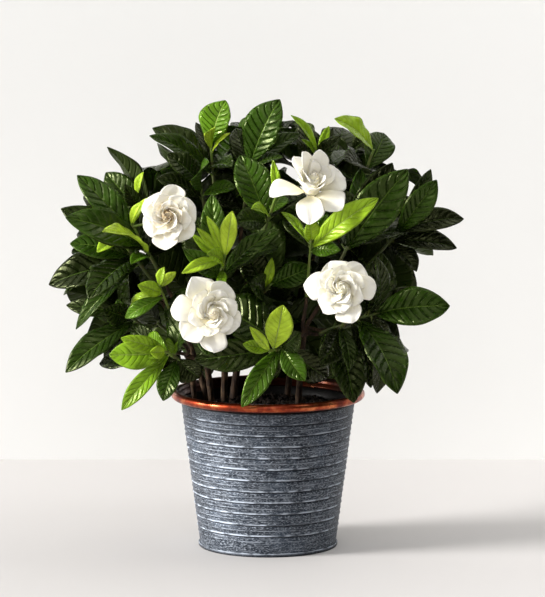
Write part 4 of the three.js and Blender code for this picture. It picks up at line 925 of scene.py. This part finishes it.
def read_petals(name):
    """The petals of a CAD bloom: for each, its root and the middle, half-width vector and inner way of its
    three rings of points."""
    points, near = welded(name)
    rings = {}
    for b, around in enumerate(near):
        for d in range(b + 1, len(points)):
            if abs(np.linalg.norm(points[b] - points[d]) - PETAL_THICK) > PETAL_SLACK:
                continue
            sides = sorted(around & near[d])
            middle = (points[b] + points[d]) / 2
            top = unit(points[b] - points[d])
            pairs = []
            for i, a in enumerate(sides):
                for c in sides[i + 1:]:
                    lean = (points[a] + points[c]) / 2 - middle
                    off = np.linalg.norm(lean - top * (lean @ top))
                    if np.linalg.norm(points[a] - points[c]) > LEAST_WIDTH:
                        pairs.append((off, a, c, lean))
            off, a, c, lean = min(pairs, default=(math.inf, 0, 0, top))
            if off <= MIDDLE_SLACK:
                inner = top if top @ lean > 0 else -top
                rings[frozenset((a, b, c, d))] = (middle, (points[a] - points[c]) / 2, inner)

    def around_ring(ring):
        return set().union(*(near[q] for q in ring)) - ring

    chains = []
    for key in rings:
        ends = [
            other for other in rings
            if not other & key and sum(len(near[q] & other) for q in key) >= 7
        ]
        if len(ends) != 2:
            continue
        # The outer ring has only this neighbour, and the inner one touches the receptacle.
        first, last = ends if len(around_ring(ends[0]) - key) == 4 else ends[::-1]
        if len(around_ring(first) - key) == 4:
            root = np.mean([points[q] for q in around_ring(first) - key], axis=0)
            chains.append((root, rings[first], rings[key], rings[last]))
    return chains


PETAL_HALF_THICK = 0.28
# Rows along and columns across a petal, and one of the heart
PETAL_GRID = (22, 14)
HEART_GRID = (16, 10)


def through(shares, values, v):
    """The curve through values at shares, at each v: Lagrange's polynomial."""
    out = np.zeros((len(v), 3))
    for i, value in enumerate(values):
        weight = np.ones(len(v))
        for j, share in enumerate(shares):
            if i != j:
                weight *= (v - share) / (shares[i] - share)
        out += weight[:, None] * value
    return out


def between(shares, ways, v):
    """Straight blends of the ways at shares, at each v."""
    return np.stack([np.interp(v, shares, ways[:, k]) for k in range(3)], axis=1)


def fine_petal(skin, stations, form, widest, age, eye=0.0, grid=PETAL_GRID):
    """Adds a petal over stations of (share, middle, half-width vector, inner way), stained by its age at the
    root and by the eye at the tip. Along it, v goes from 0 to 1, and across it, u goes from -1 to 1."""
    cup, ruffling, curling = form
    rows, columns = grid
    waves = rng.uniform(0, 6.28, 2)
    shares, middles, ways, faces = (np.array(values) for values in zip(*stations))
    v = np.linspace(0.0, 1.0, rows)
    middle = through(shares, middles, v)
    ways = np.array([unit(way) for way in ways])
    ways[ways @ ways[-1] < 0] *= -1
    side = between(shares, ways, v)
    side /= np.linalg.norm(side, axis=1)[:, None]
    face = between(shares, faces, v)
    face -= side * np.sum(face * side, axis=1)[:, None]
    face /= np.linalg.norm(face, axis=1)[:, None]
    point = rng.uniform(0.9, 3.0)
    round_end = np.sqrt(np.clip(1 - np.clip((v - 0.66) / 0.343, 0, 1) ** point, 0, 1))
    half = np.maximum(widest * np.sin(0.80 * np.pi * np.clip(v, 0.06, 1)) ** 0.85 * round_end, 0.35)
    u, under = blade_columns(columns)
    wide = np.abs(u)
    v = v[:, None]
    half = half[:, None]
    ruffle = np.sin(3.2 * u + waves[0]) * 0.5 + np.sin(7.0 * u + 5.0 * v + waves[1]) * 0.28
    height = half * cup * wide ** 2 + ruffling * half * ruffle * v ** 1.5
    curl = curling * rng.uniform(-0.3, 1.9)
    height = height - curl * widest * np.clip((v - 0.6) / 0.4, 0, 1) ** 2 * (0.4 + 0.6 * wide)
    skew = rng.uniform(-0.3, 0.3)
    u = u + skew * v ** 2 * (1 - u ** 2)
    u = u * (1 + 0.08 * np.sin(9.0 * v + waves[1] + 2.2 * np.sign(u)))
    height = height + 0.25 * np.exp(-((u / 0.16) ** 2)) * (1 - v)
    thick = PETAL_HALF_THICK * (1 - 0.6 * wide ** 2) * (1 - 0.4 * v)
    height = height + np.where(under > 0, -thick, thick)
    points = middle[:, None] + side[:, None] * (u * half)[..., None] + face[:, None] * height[..., None]
    stain = np.maximum(age * np.clip(1.15 - 1.1 * v, 0, 1), eye * np.clip((v - 0.5) / 0.3, 0, 1))
    petal = np.stack(np.broadcast_arrays(v, u, stain), axis=-1).reshape(-1, 3)
    skin.add(points, ring_faces(rows, 2 * columns), petal=petal)


def axes_about(way):
    """Two unit vectors square to a way."""
    across = unit(np.cross(UP if abs(way[2]) < 0.9 else (1.0, 0.0, 0.0), way))
    return across, np.cross(way, across)


# Shares of a petal's length at which its read rings and its ruled stations are
READ_SHARES = (0.35, 0.72, 0.96)
RULE_SHARES = (0.0, 0.35, 0.72, 0.98)
# Half-width at a read petal's second ring, as a share of its greatest
MIDDLE_FULLNESS = math.sin(0.82 * math.pi * 0.72)
# How cupped, how ruffled and how far rolled back a petal is
OPEN_FORM = (0.14, 0.2, 0.3)
UPRIGHT_FORM = (0.24, 0.16, 0.16)
STANDING_FORM = (0.3, 0.12, 0.3)
HEART_FORM = (0.5, 0.1, 0.15)
# How far out from the axis a petal reaches that is open, and how stained an open and an upright one are
OPEN_REACH = 17.0
OPEN_STAIN = 0.35
UPRIGHT_STAIN = 0.8
# How far a petal of the heart turns about its own length, so that one edge overlaps the next, in degrees
HEART_TWIST = 24.0
# How far each ring of the heart is turned from the one outside it, in radians
HEART_STEP = 0.6
# Petals of the heart, from the outside in: count, height of the root over the mouth, radius, opening in
# degrees, length and width.
HEART = (
    (5, 7.5, 6.8, (10, 52), 14.0, 17.0),
    (4, 9.5, 5.8, (-4, 18), 12.0, 14.0),
    (4, 11.5, 4.4, (-14, -2), 11.5, 10.0),
    (3, 13.5, 2.4, (-14, -4), 11.0, 7.0),
)
# Petals that stand up behind the heart of the bloom seen from the side: angle about its axis, height of the
# root over the mouth, radius, opening in degrees, length and width.
STANDING = {"upper_right": (
    (122, 2.0, 5.0, (12, 34), 35.0, 20.0), (70, 2.0, 5.0, (8, 30), 36.0, 19.0),
    (96, 5.0, 3.0, (2, 16), 27.0, 15.0), (20, 3.0, 5.0, (16, 50), 26.0, 17.0),
)}
# Radius under which a ring of the heart is part of its eye, where brown flecks are, and how brown they are
EYE_RADIUS = 5.0
EYE_STAIN = 1.4
# Bud in the middle of a bloom: radius, height over the mouth and stain of each ring, then its closed tip
BUD_ROWS = (
    (5.2, 0.0, 0.6), (7.2, 5.0, 0.6), (7.0, 12.0, 0.6), (5.6, 18.0, EYE_STAIN), (3.2, 21.5, EYE_STAIN),
)
BUD_END = (0.6, 23.0)
TUBE_STAIN = 0.6
TUBE_SIDES = 24


def rule_petal(seat, way, around, root, radius, opening, length, width):
    """Stations of a petal that leaves the axis of a bloom at a height and radius, opening in degrees from
    the axis from the first angle to the second."""
    across, other = axes_about(way)
    out = across * math.cos(around) + other * math.sin(around)
    beside = -across * math.sin(around) + other * math.cos(around)
    first, last = (math.radians(a) for a in opening)
    sweep = last - first
    lean = math.radians(HEART_TWIST)
    stations = []
    for share in RULE_SHARES:
        angle = first + sweep * share
        reach = length * (math.cos(first) - math.cos(angle)) / sweep
        rise = length * (math.sin(angle) - math.sin(first)) / sweep
        middle = seat + way * (root + rise) + out * (radius + reach)
        inner = way * math.sin(angle) - out * math.cos(angle)
        side = beside * math.cos(lean) + inner * math.sin(lean)
        stations.append((share, middle, side * width / 2, inner * math.cos(lean) - beside * math.sin(lean)))
    return stations


def build_bloom(name):
    """Builds one double bloom: the read petals, a furled heart over the bud and the tube below."""
    key = name.removeprefix("bloom_")
    centre, facing_way, size, age, _, _ = BLOOMS[key]
    way = unit(facing_way)
    seat = seen(*centre) - way * BLOOM_TUBE * size
    mouth = (BLOOM_TUBE - CORE_HEIGHT) * size
    skin = Skin(petal=(0.0, 0.0, 0.0))
    for root, *rings in read_petals(name):
        stations = [(0.0, root, *rings[0][1:])] + [(share, *ring) for share, ring in zip(READ_SHARES, rings)]
        widest = np.linalg.norm(rings[1][1]) / MIDDLE_FULLNESS
        if np.linalg.norm(np.cross(rings[2][0] - seat, way)) > OPEN_REACH * size:
            fine_petal(skin, stations, OPEN_FORM, widest, age * OPEN_STAIN)
        else:
            fine_petal(skin, stations, UPRIGHT_FORM, widest, age * UPRIGHT_STAIN)

    def ruled(around, root, radius, opening, length, width, *others):
        stations = rule_petal(
            seat, way, around, mouth + root * size, radius * size, opening, length, width * size,
        )
        fine_petal(skin, stations, *others)

    for around, root, radius, opening, length, width in STANDING.get(key, ()):
        around = math.radians(around)
        ruled(around, root, radius, opening, length * size, width, STANDING_FORM, width * size / 2, age)
    turn = rng.uniform(0, 2 * math.pi)
    for count, root, radius, opening, length, width in HEART[1 if key in STANDING else 0:]:
        eye = EYE_STAIN * age if radius < EYE_RADIUS else 0.0
        others = (HEART_FORM, width * size / 2, age, eye, HEART_GRID)
        for i in range(count):
            around = turn + 2 * math.pi * i / count + rng.uniform(-0.12, 0.12)
            span = size * length * rng.uniform(0.92, 1.08)
            ruled(around, root, radius, opening, span, width, *others)
        turn += HEART_STEP
    across, other = axes_about(way)
    rows = [(2.2, 0.2, TUBE_STAIN), (2.4, 0.4 * mouth, TUBE_STAIN), (2.8, 0.75 * mouth, TUBE_STAIN)]
    rows += [(radius * size, mouth + height * size, stain) for radius, height, stain in BUD_ROWS]
    rows.append((BUD_END[0], mouth + BUD_END[1] * size, EYE_STAIN))
    angles = np.linspace(0, 2 * math.pi, TUBE_SIDES, endpoint=False)
    tube = [
        seat + way * height + radius * (math.cos(a) * across + math.sin(a) * other)
        for radius, height, _ in rows for a in angles
    ]
    petal = [(0.1, 0.0, age * stain) for _, _, stain in rows for _ in angles]
    skin.add(tube, ring_faces(len(rows), TUBE_SIDES), petal=petal)
    mesh = skin.mesh(name + "_fine")
    mesh.materials.append(PETAL)
    place_piece(name + "_fine", mesh, [name])


# Pot

POT_SIDES = 180
BASE_RADIUS = 59.4
BODY_TOP_RADIUS = 76.1
BODY_TOP = 128.0
WALL_TOP = 129.0
WALL = 1.2
RIB_DEPTH = 0.9
RIB_FIRST = 18.0
RIB_PITCH = 10.0
RIB_COUNT = 11
FLOOR = 1.6
GAP = 0.35
BEAD_RADIUS = 3.8
BEAD_CENTRE = 81.2
BEAD_HEIGHT = 134.3
BASE_BAND_HEIGHT = 3.2
BASE_BAND_THICK = 1.1
SOIL_EDGE = 120.0


def body_radius(z):
    """Outer radius of the pot's wall at a height."""
    return BASE_RADIUS + (BODY_TOP_RADIUS - BASE_RADIUS) / BODY_TOP * z


def turned(skin, profile, sides=POT_SIDES, **values):
    """Adds a body turned about Z from a closed profile of (radius, height), wound so that it faces out.
    Values give an attribute for each point of the profile."""
    radii, heights = np.array(profile, float).T[..., None]
    angles = np.linspace(0, 2 * np.pi, sides, endpoint=False)
    points = np.stack([radii * np.cos(angles), radii * np.sin(angles), heights + 0 * angles], axis=-1)
    faces = []
    for i in range(len(profile)):
        j = (i + 1) % len(profile)
        for k in range(sides):
            m = (k + 1) % sides
            faces.append((i * sides + k, i * sides + m, j * sides + m, j * sides + k))
    skin.add(points, faces, **{name: np.repeat(value, sides) for name, value in values.items()})


RIB_SIZES = {
    "First": RIB_FIRST * MM, "Pitch": RIB_PITCH * MM, "Count": RIB_COUNT, "Depth": RIB_DEPTH * MM,
    "Dent size": 0.03, "Dent depth": 0.0008,
}
# Over one pitch of the ribs: how far the wall stands out, where its ridge is rubbed pale and where its
# groove is painted dark as shade
RIB_PROFILE = (
    (0.0, 0.6), (0.05, 0.82), (0.1, 0.6), (0.2, 0.58), (0.38, 0.48), (0.43, 0.05), (0.48, 0.06), (0.53, 0.75),
    (0.58, 0.95), (0.64, 0.72), (0.78, 0.54), (0.95, 0.56), (1.0, 0.6),
)
RIB_MASKS = {
    "ridge": (
        (0.0, 0.0), (0.02, 0.1), (0.05, 0.7), (0.09, 0.0), (0.5, 0.0), (0.54, 1.0), (0.6, 1.0), (0.66, 0.0),
    ),
    "groove": (
        (0.0, 0.0), (0.1, 0.0), (0.12, 0.4), (0.15, 0.0), (0.4, 0.0), (0.43, 1.0), (0.48, 1.0), (0.51, 0.0),
    ),
}


def rib_tree():
    """Rolls ribs into the outside of the pot's wall: a groove with a ridge above it at each step."""
    tree, sizes = new_tree("rolled_ribs", RIB_SIZES)
    along, beside, height = add(tree, "SeparateXYZ", [add(tree, "InputPosition")]).outputs
    above = add(tree, "Math SUBTRACT", [height, sizes["First"]])
    turns = add(tree, "Math DIVIDE", [above, sizes["Pitch"]])
    steps = add(tree, "Math ADD", [turns, 0.5])
    over = add(tree, "Math GREATER_THAN", [steps, 0.0])
    below = add(tree, "Math LESS_THAN", [steps, sizes["Count"]])
    ribbed = add(tree, "Math MULTIPLY", [over, below])
    outside = add(tree, "InputNamedAttribute FLOAT", {"Name": "outside"})
    rolled = add(tree, "Math MULTIPLY", [ribbed, outside])
    share = add(tree, "Math FRACT", [steps])
    profile = add(tree, "FloatCurve", {"Value": share}, points=RIB_PROFILE)
    raised = add(tree, "MapRange", [profile, 0.0, 1.0, -0.9, 0.6], clamp=False)
    deep = add(tree, "Math MULTIPLY", [raised, sizes["Depth"]])
    stand = add(tree, "Math MULTIPLY", [deep, rolled])
    flat = add(tree, "CombineXYZ", [along, beside])
    radial = add(tree, "VectorMath NORMALIZE", [flat])
    offset = add(tree, "VectorMath SCALE", {0: radial, "Scale": stand})
    wall = sizes["Geometry"]
    for name, shape in RIB_MASKS.items():
        mask = add(tree, "FloatCurve", {"Value": share}, points=shape)
        value = add(tree, "Math MULTIPLY", [mask, rolled])
        wall = add(tree, "StoreNamedAttribute", {
            "Geometry": wall, "Name": name, "Value": value,
        }, data_type="FLOAT", domain="POINT")
    wall = add(tree, "SetPosition", {"Geometry": wall, "Offset": offset})
    end_tree(tree, uneven(tree, wall, sizes["Dent size"], sizes["Dent depth"], Selection=outside), ZINC)
    return tree


# Shares of a rib's pitch at which the wall has a ring of points
RIB_STEPS = (
    0.0, 0.03, 0.06, 0.09, 0.12, 0.15, 0.24, 0.34, 0.4, 0.43, 0.455, 0.48, 0.51, 0.54, 0.57, 0.6, 0.64, 0.7,
    0.8, 0.9,
)
# Heights of the wall's other rings, below and above the ribs and down the inside
PLAIN_HEIGHTS = ((1.2, 3.0, 6.0, 9.0, 12.0), (123.5, 125.5, 127.0), (WALL_TOP, 122.0, 80.0, 40.0, FLOOR + 2))


def wall_inside(z):
    """Inner radius of the pot's wall at a height, clear of the grooves."""
    return body_radius(z) - WALL - RIB_DEPTH


def build_wall():
    """Builds the ribbed wall with its closed bottom. Its inside, painted dark as shade, starts on its top
    edge.
    """
    below, above, down = PLAIN_HEIGHTS
    ribs = [RIB_FIRST + RIB_PITCH * (k - 0.5 + share) for k in range(RIB_COUNT) for share in RIB_STEPS]
    sheet = [(body_radius(z), z) for z in (*below, *ribs, *above)]
    edge = [(body_radius(WALL_TOP) - inset, WALL_TOP - drop) for inset, drop in ((0.2, 0.2), (0.6, 0.0))]
    inner = [(wall_inside(z), z) for z in down] + [(wall_inside(0) - 2, FLOOR)]
    profile = [(0.4, 0.0), (body_radius(0) - 1.0, 0.0)] + sheet + edge + inner + [(0.4, FLOOR)]
    # The inside and the top edge are marked to be painted dark as shade.
    outside = [float(point in sheet) for point in profile]
    inside = [float(point in edge or point in inner) for point in profile]
    skin = Skin(outside=0.0, inside=0.0)
    turned(skin, profile, outside=outside, inside=inside)
    mesh = shaped(skin.mesh("pot_wall"), rib_tree(), RIB_SIZES)
    place_piece("pot_wall_ribbed", mesh, ["pot_wall"])


def plain_turned(name, profile, material, node, slot, **values):
    """Builds a piece that is only turned from its profile."""
    skin = Skin(**{key: 0.0 for key in values})
    turned(skin, profile, **values)
    mesh = skin.mesh(name)
    mesh.materials.append(material)
    place_piece(name, mesh, [node])


# Gap between the top of the wall and the rim that is hooked over it, too narrow for light to show
SEAT_GAP = 0.02
# How dark the rim's inner side is painted, as painted shade
RIM_INNER_SHADE = 0.85
# Where the bead's round starts and ends, in degrees from outwards
BEAD_TURNS = (-125, 180)
BEAD_STEPS = 30


def build_rim():
    """Builds the rolled rim: a bead with a short flare under it."""
    inside = body_radius(WALL_TOP) - 1.4
    seat = WALL_TOP + SEAT_GAP
    profile = [(inside, seat), (body_radius(WALL_TOP) + 0.6, seat)]
    for turn in np.radians(np.linspace(*BEAD_TURNS, BEAD_STEPS)):
        out, up = BEAD_RADIUS * math.cos(turn), BEAD_RADIUS * math.sin(turn)
        profile.append((BEAD_CENTRE + out, BEAD_HEIGHT + up))
    profile += [(BEAD_CENTRE - BEAD_RADIUS - 0.4, BEAD_HEIGHT - 1.4), (inside + 0.2, seat + 1.6)]
    # The rim's inner side is marked to be painted dark as shade.
    inner_shade = [RIM_INNER_SHADE if radius < BEAD_CENTRE - 0.5 else 0.0 for radius, _ in profile]
    plain_turned("rolled_rim", profile, COPPER, "pot_rim", "copper", inside=inner_shade)


def build_base_ring():
    """Builds the crimped band round the foot, painted dark below as shade where it meets the floor, and
    rubbed along its top.
    """
    foot = body_radius(0.8) + GAP
    top = body_radius(BASE_BAND_HEIGHT) + GAP
    shoulder = top + BASE_BAND_THICK
    profile = [
        (foot, 0.0), (foot + 0.7, 0.0), (foot + BASE_BAND_THICK - 0.1, 0.3), (foot + BASE_BAND_THICK, 0.8),
        (shoulder, BASE_BAND_HEIGHT - 0.7), (shoulder - 0.3, BASE_BAND_HEIGHT - 0.2),
        (top + 0.4, BASE_BAND_HEIGHT), (top, BASE_BAND_HEIGHT - 0.2),
    ]
    ridge = [0.0, 0.0, 0.0, 0.0, 0.5, 1.0, 1.0, 0.3]
    # The band's lower side is marked to be painted dark as shade, like the ribs' grooves.
    groove = [1.0, 1.0, 1.0, 1.0, 0.3, 0.0, 0.0, 0.0]
    plain_turned("crimped_base_ring", profile, ZINC, "pot_base_ring", "zinc", ridge=ridge, groove=groove)


CRUMB_SIZES = {"Lump size": 0.012, "Lump depth": 0.004, "Crumbs": 90000.0, "Crumb size": 0.0016, "Seed": 7}


def crumb_tree():
    """Roughens the top of the soil and strews it with crumbs of peat and chips of bark."""
    tree, sizes = new_tree("peat_crumbs", CRUMB_SIZES)
    lumpy = uneven(tree, sizes["Geometry"], sizes["Lump size"], sizes["Lump depth"])
    facing = add(tree, "SeparateXYZ", [add(tree, "InputNormal")])
    top = add(tree, "Math GREATER_THAN", [facing.outputs["Z"], 0.3])
    points = add(tree, "DistributePointsOnFaces", {
        "Mesh": lumpy, "Selection": top, "Density": sizes["Crumbs"], "Seed": sizes["Seed"],
    })
    size = add(tree, "RandomValue FLOAT", {2: 0.5, 3: 2.0, "Seed": sizes["Seed"]})
    low, high = (0.6, 0.6, 0.4), (1.9, 1.2, 1.0)
    stretch = add(tree, "RandomValue FLOAT_VECTOR", {0: low, 1: high, "Seed": 3})
    sized = add(tree, "VectorMath SCALE", {0: stretch, "Scale": size})
    turn = add(tree, "RandomValue FLOAT_VECTOR", {0: (0.0,) * 3, 1: (6.28,) * 3, "Seed": 5})
    ball = add(tree, "MeshIcoSphere", {"Radius": sizes["Crumb size"], "Subdivisions": 1})
    crumbs = add(tree, "InstanceOnPoints", {
        "Points": points, "Instance": ball, "Rotation": turn, "Scale": sized,
    })
    real = add(tree, "RealizeInstances", [crumbs])
    rough = uneven(tree, real, sizes["Crumb size"], sizes["Crumb size"], 3.0)
    end_tree(tree, add(tree, "JoinGeometry", {"Geometry": [rough, lumpy]}), PEAT)
    return tree


# Radii and heights of the mound of soil, and the rings of points over it
SOIL_MOUND = ([0, 30, 55, 71], [125.8, 125.0, 122.3, 118.8])
SOIL_RINGS = 34
SOIL_SIDES = 96


def build_soil():
    """Builds the soil: a mound over a plain filling."""
    edge = wall_inside(SOIL_EDGE) - 1.4
    foot = wall_inside(FLOOR) - 4.5
    low = FLOOR + 2.8
    top = [(r, float(np.interp(r, *SOIL_MOUND))) for r in np.linspace(edge - 0.4, 0.4, SOIL_RINGS)]
    skin = Skin()
    turned(skin, [(0.4, low), (foot, low), (edge, SOIL_EDGE - 4.0)] + top, SOIL_SIDES)
    place_piece("peat_soil", shaped(skin.mesh("soil"), crumb_tree(), CRUMB_SIZES), ["soil"])


BARK_SIZES = {"Rounding": 2, "Swell": 0.0003, "Knot size": 0.007, "Knot depth": 0.0018}


def bark_tree():
    """Rounds a plain forked stem and swells it into knotty bark."""
    tree, sizes = new_tree("knotty_bark", BARK_SIZES)
    merged = add(tree, "MergeByDistance", {"Geometry": sizes["Geometry"], "Distance": 0.00002})
    smooth = add(tree, "SubdivisionSurface", {"Mesh": merged, "Level": sizes["Rounding"]})
    normal = add(tree, "InputNormal")
    swell = add(tree, "VectorMath SCALE", {0: normal, "Scale": sizes["Swell"]})
    thick = add(tree, "SetPosition", {"Geometry": smooth, "Offset": swell})
    end_tree(tree, uneven(tree, thick, sizes["Knot size"], sizes["Knot depth"]), BARK)
    return tree


# Building

build_wall()
build_rim()
build_base_ring()
build_soil()
knotty_bark = bark_tree()
for node_name in sorted(nodes):
    if node_name.startswith("stem_"):
        stem_mesh = shaped(nodes[node_name].data.copy(), knotty_bark, BARK_SIZES)
        place_piece(node_name + "_bark", stem_mesh, [node_name])
    elif node_name.startswith(("spray_", "tip_")):
        build_shoot(node_name)
    elif node_name.startswith("bloom_"):
        build_bloom(node_name)


# Studio, in metres


def stage_plane(name, corners, material):
    """Adds a flat face of the set, which isn't part of the object."""
    mesh = bpy.data.meshes.new(name)
    mesh.from_pydata(corners, [], [(0, 1, 2, 3)])
    mesh.materials.append(material)
    obj = bpy.data.objects.new(name, mesh)
    bpy.context.scene.collection.objects.link(obj)


# How far behind the pot's middle the backdrop stands
BEHIND = 0.42
stage_plane("floor", [(-8, -8, 0), (8, -8, 0), (8, 8, 0), (-8, 8, 0)], FLOOR_PAINT)
stage_plane("backdrop", [(-6, BEHIND, 0), (6, BEHIND, 0), (6, BEHIND, 5), (-6, BEHIND, 5)], PAPER)


def add_light(name, kind, place, target, power, colour="#ffffff", **settings):
    """Adds a light that shines from a place to a target."""
    obj = bpy.data.objects.new(name, bpy.data.lights.new(name, kind))
    bpy.context.scene.collection.objects.link(obj)
    obj.location = place
    way = unit(np.subtract(target, place))
    obj.rotation_euler = (math.acos(-way[2]), 0.0, math.atan2(way[1], way[0]) - math.pi / 2)
    obj.data.energy = power
    obj.data.color = linear(colour)[:3]
    for key, value in settings.items():
        setattr(obj.data, key, value)


# The key is a large softbox far to the left, low and a little in front. Of a sun, only the way counts.
add_light("key", "SUN", (0.0, 0.0, 0.0), (0.9, 0.24, -0.275), 6.5, "#fffdfb", angle=math.radians(22))
LOW_CROWN = (0.0, 0.0, 0.2)
add_light("top_fill", "AREA", (-0.1, -1.0, 2.6), LOW_CROWN, 10.0, shape="SQUARE", size=1.8)
add_light("front_fill", "AREA", (-0.1, -2.4, 1.5), LOW_CROWN, 11.0, shape="SQUARE", size=1.2)
add_light("backdrop_wash", "AREA", (0.9, -0.1, 1.7), (0.5, 0.42, 0.7), 5.0, shape="SQUARE", size=0.8)

# The fill comes from the whole room, brighter on the side of the key.
world = bpy.data.worlds.new("studio")
world.use_nodes = True
room = world.node_tree
room.nodes.clear()
direction = add(room, "SeparateXYZ", [add(room, "TexCoord").outputs["Generated"]])
fill = add(room, "MapRange", [direction.outputs["X"], -1.0, 0.6, 0.36, 0.03])
# Where a view looks past the backdrop, the room is as pale as the wall.
straight = add(room, "LightPath").outputs["Is Camera Ray"]
strength = add(room, "MapRange", [straight, 0.0, 1.0, fill, 0.88])
add(room, "OutputWorld", [add(room, "Background", {"Color": "#f4f6fa", "Strength": strength})])
bpy.context.scene.world = world
bpy.context.scene.view_settings.view_transform = "Standard"
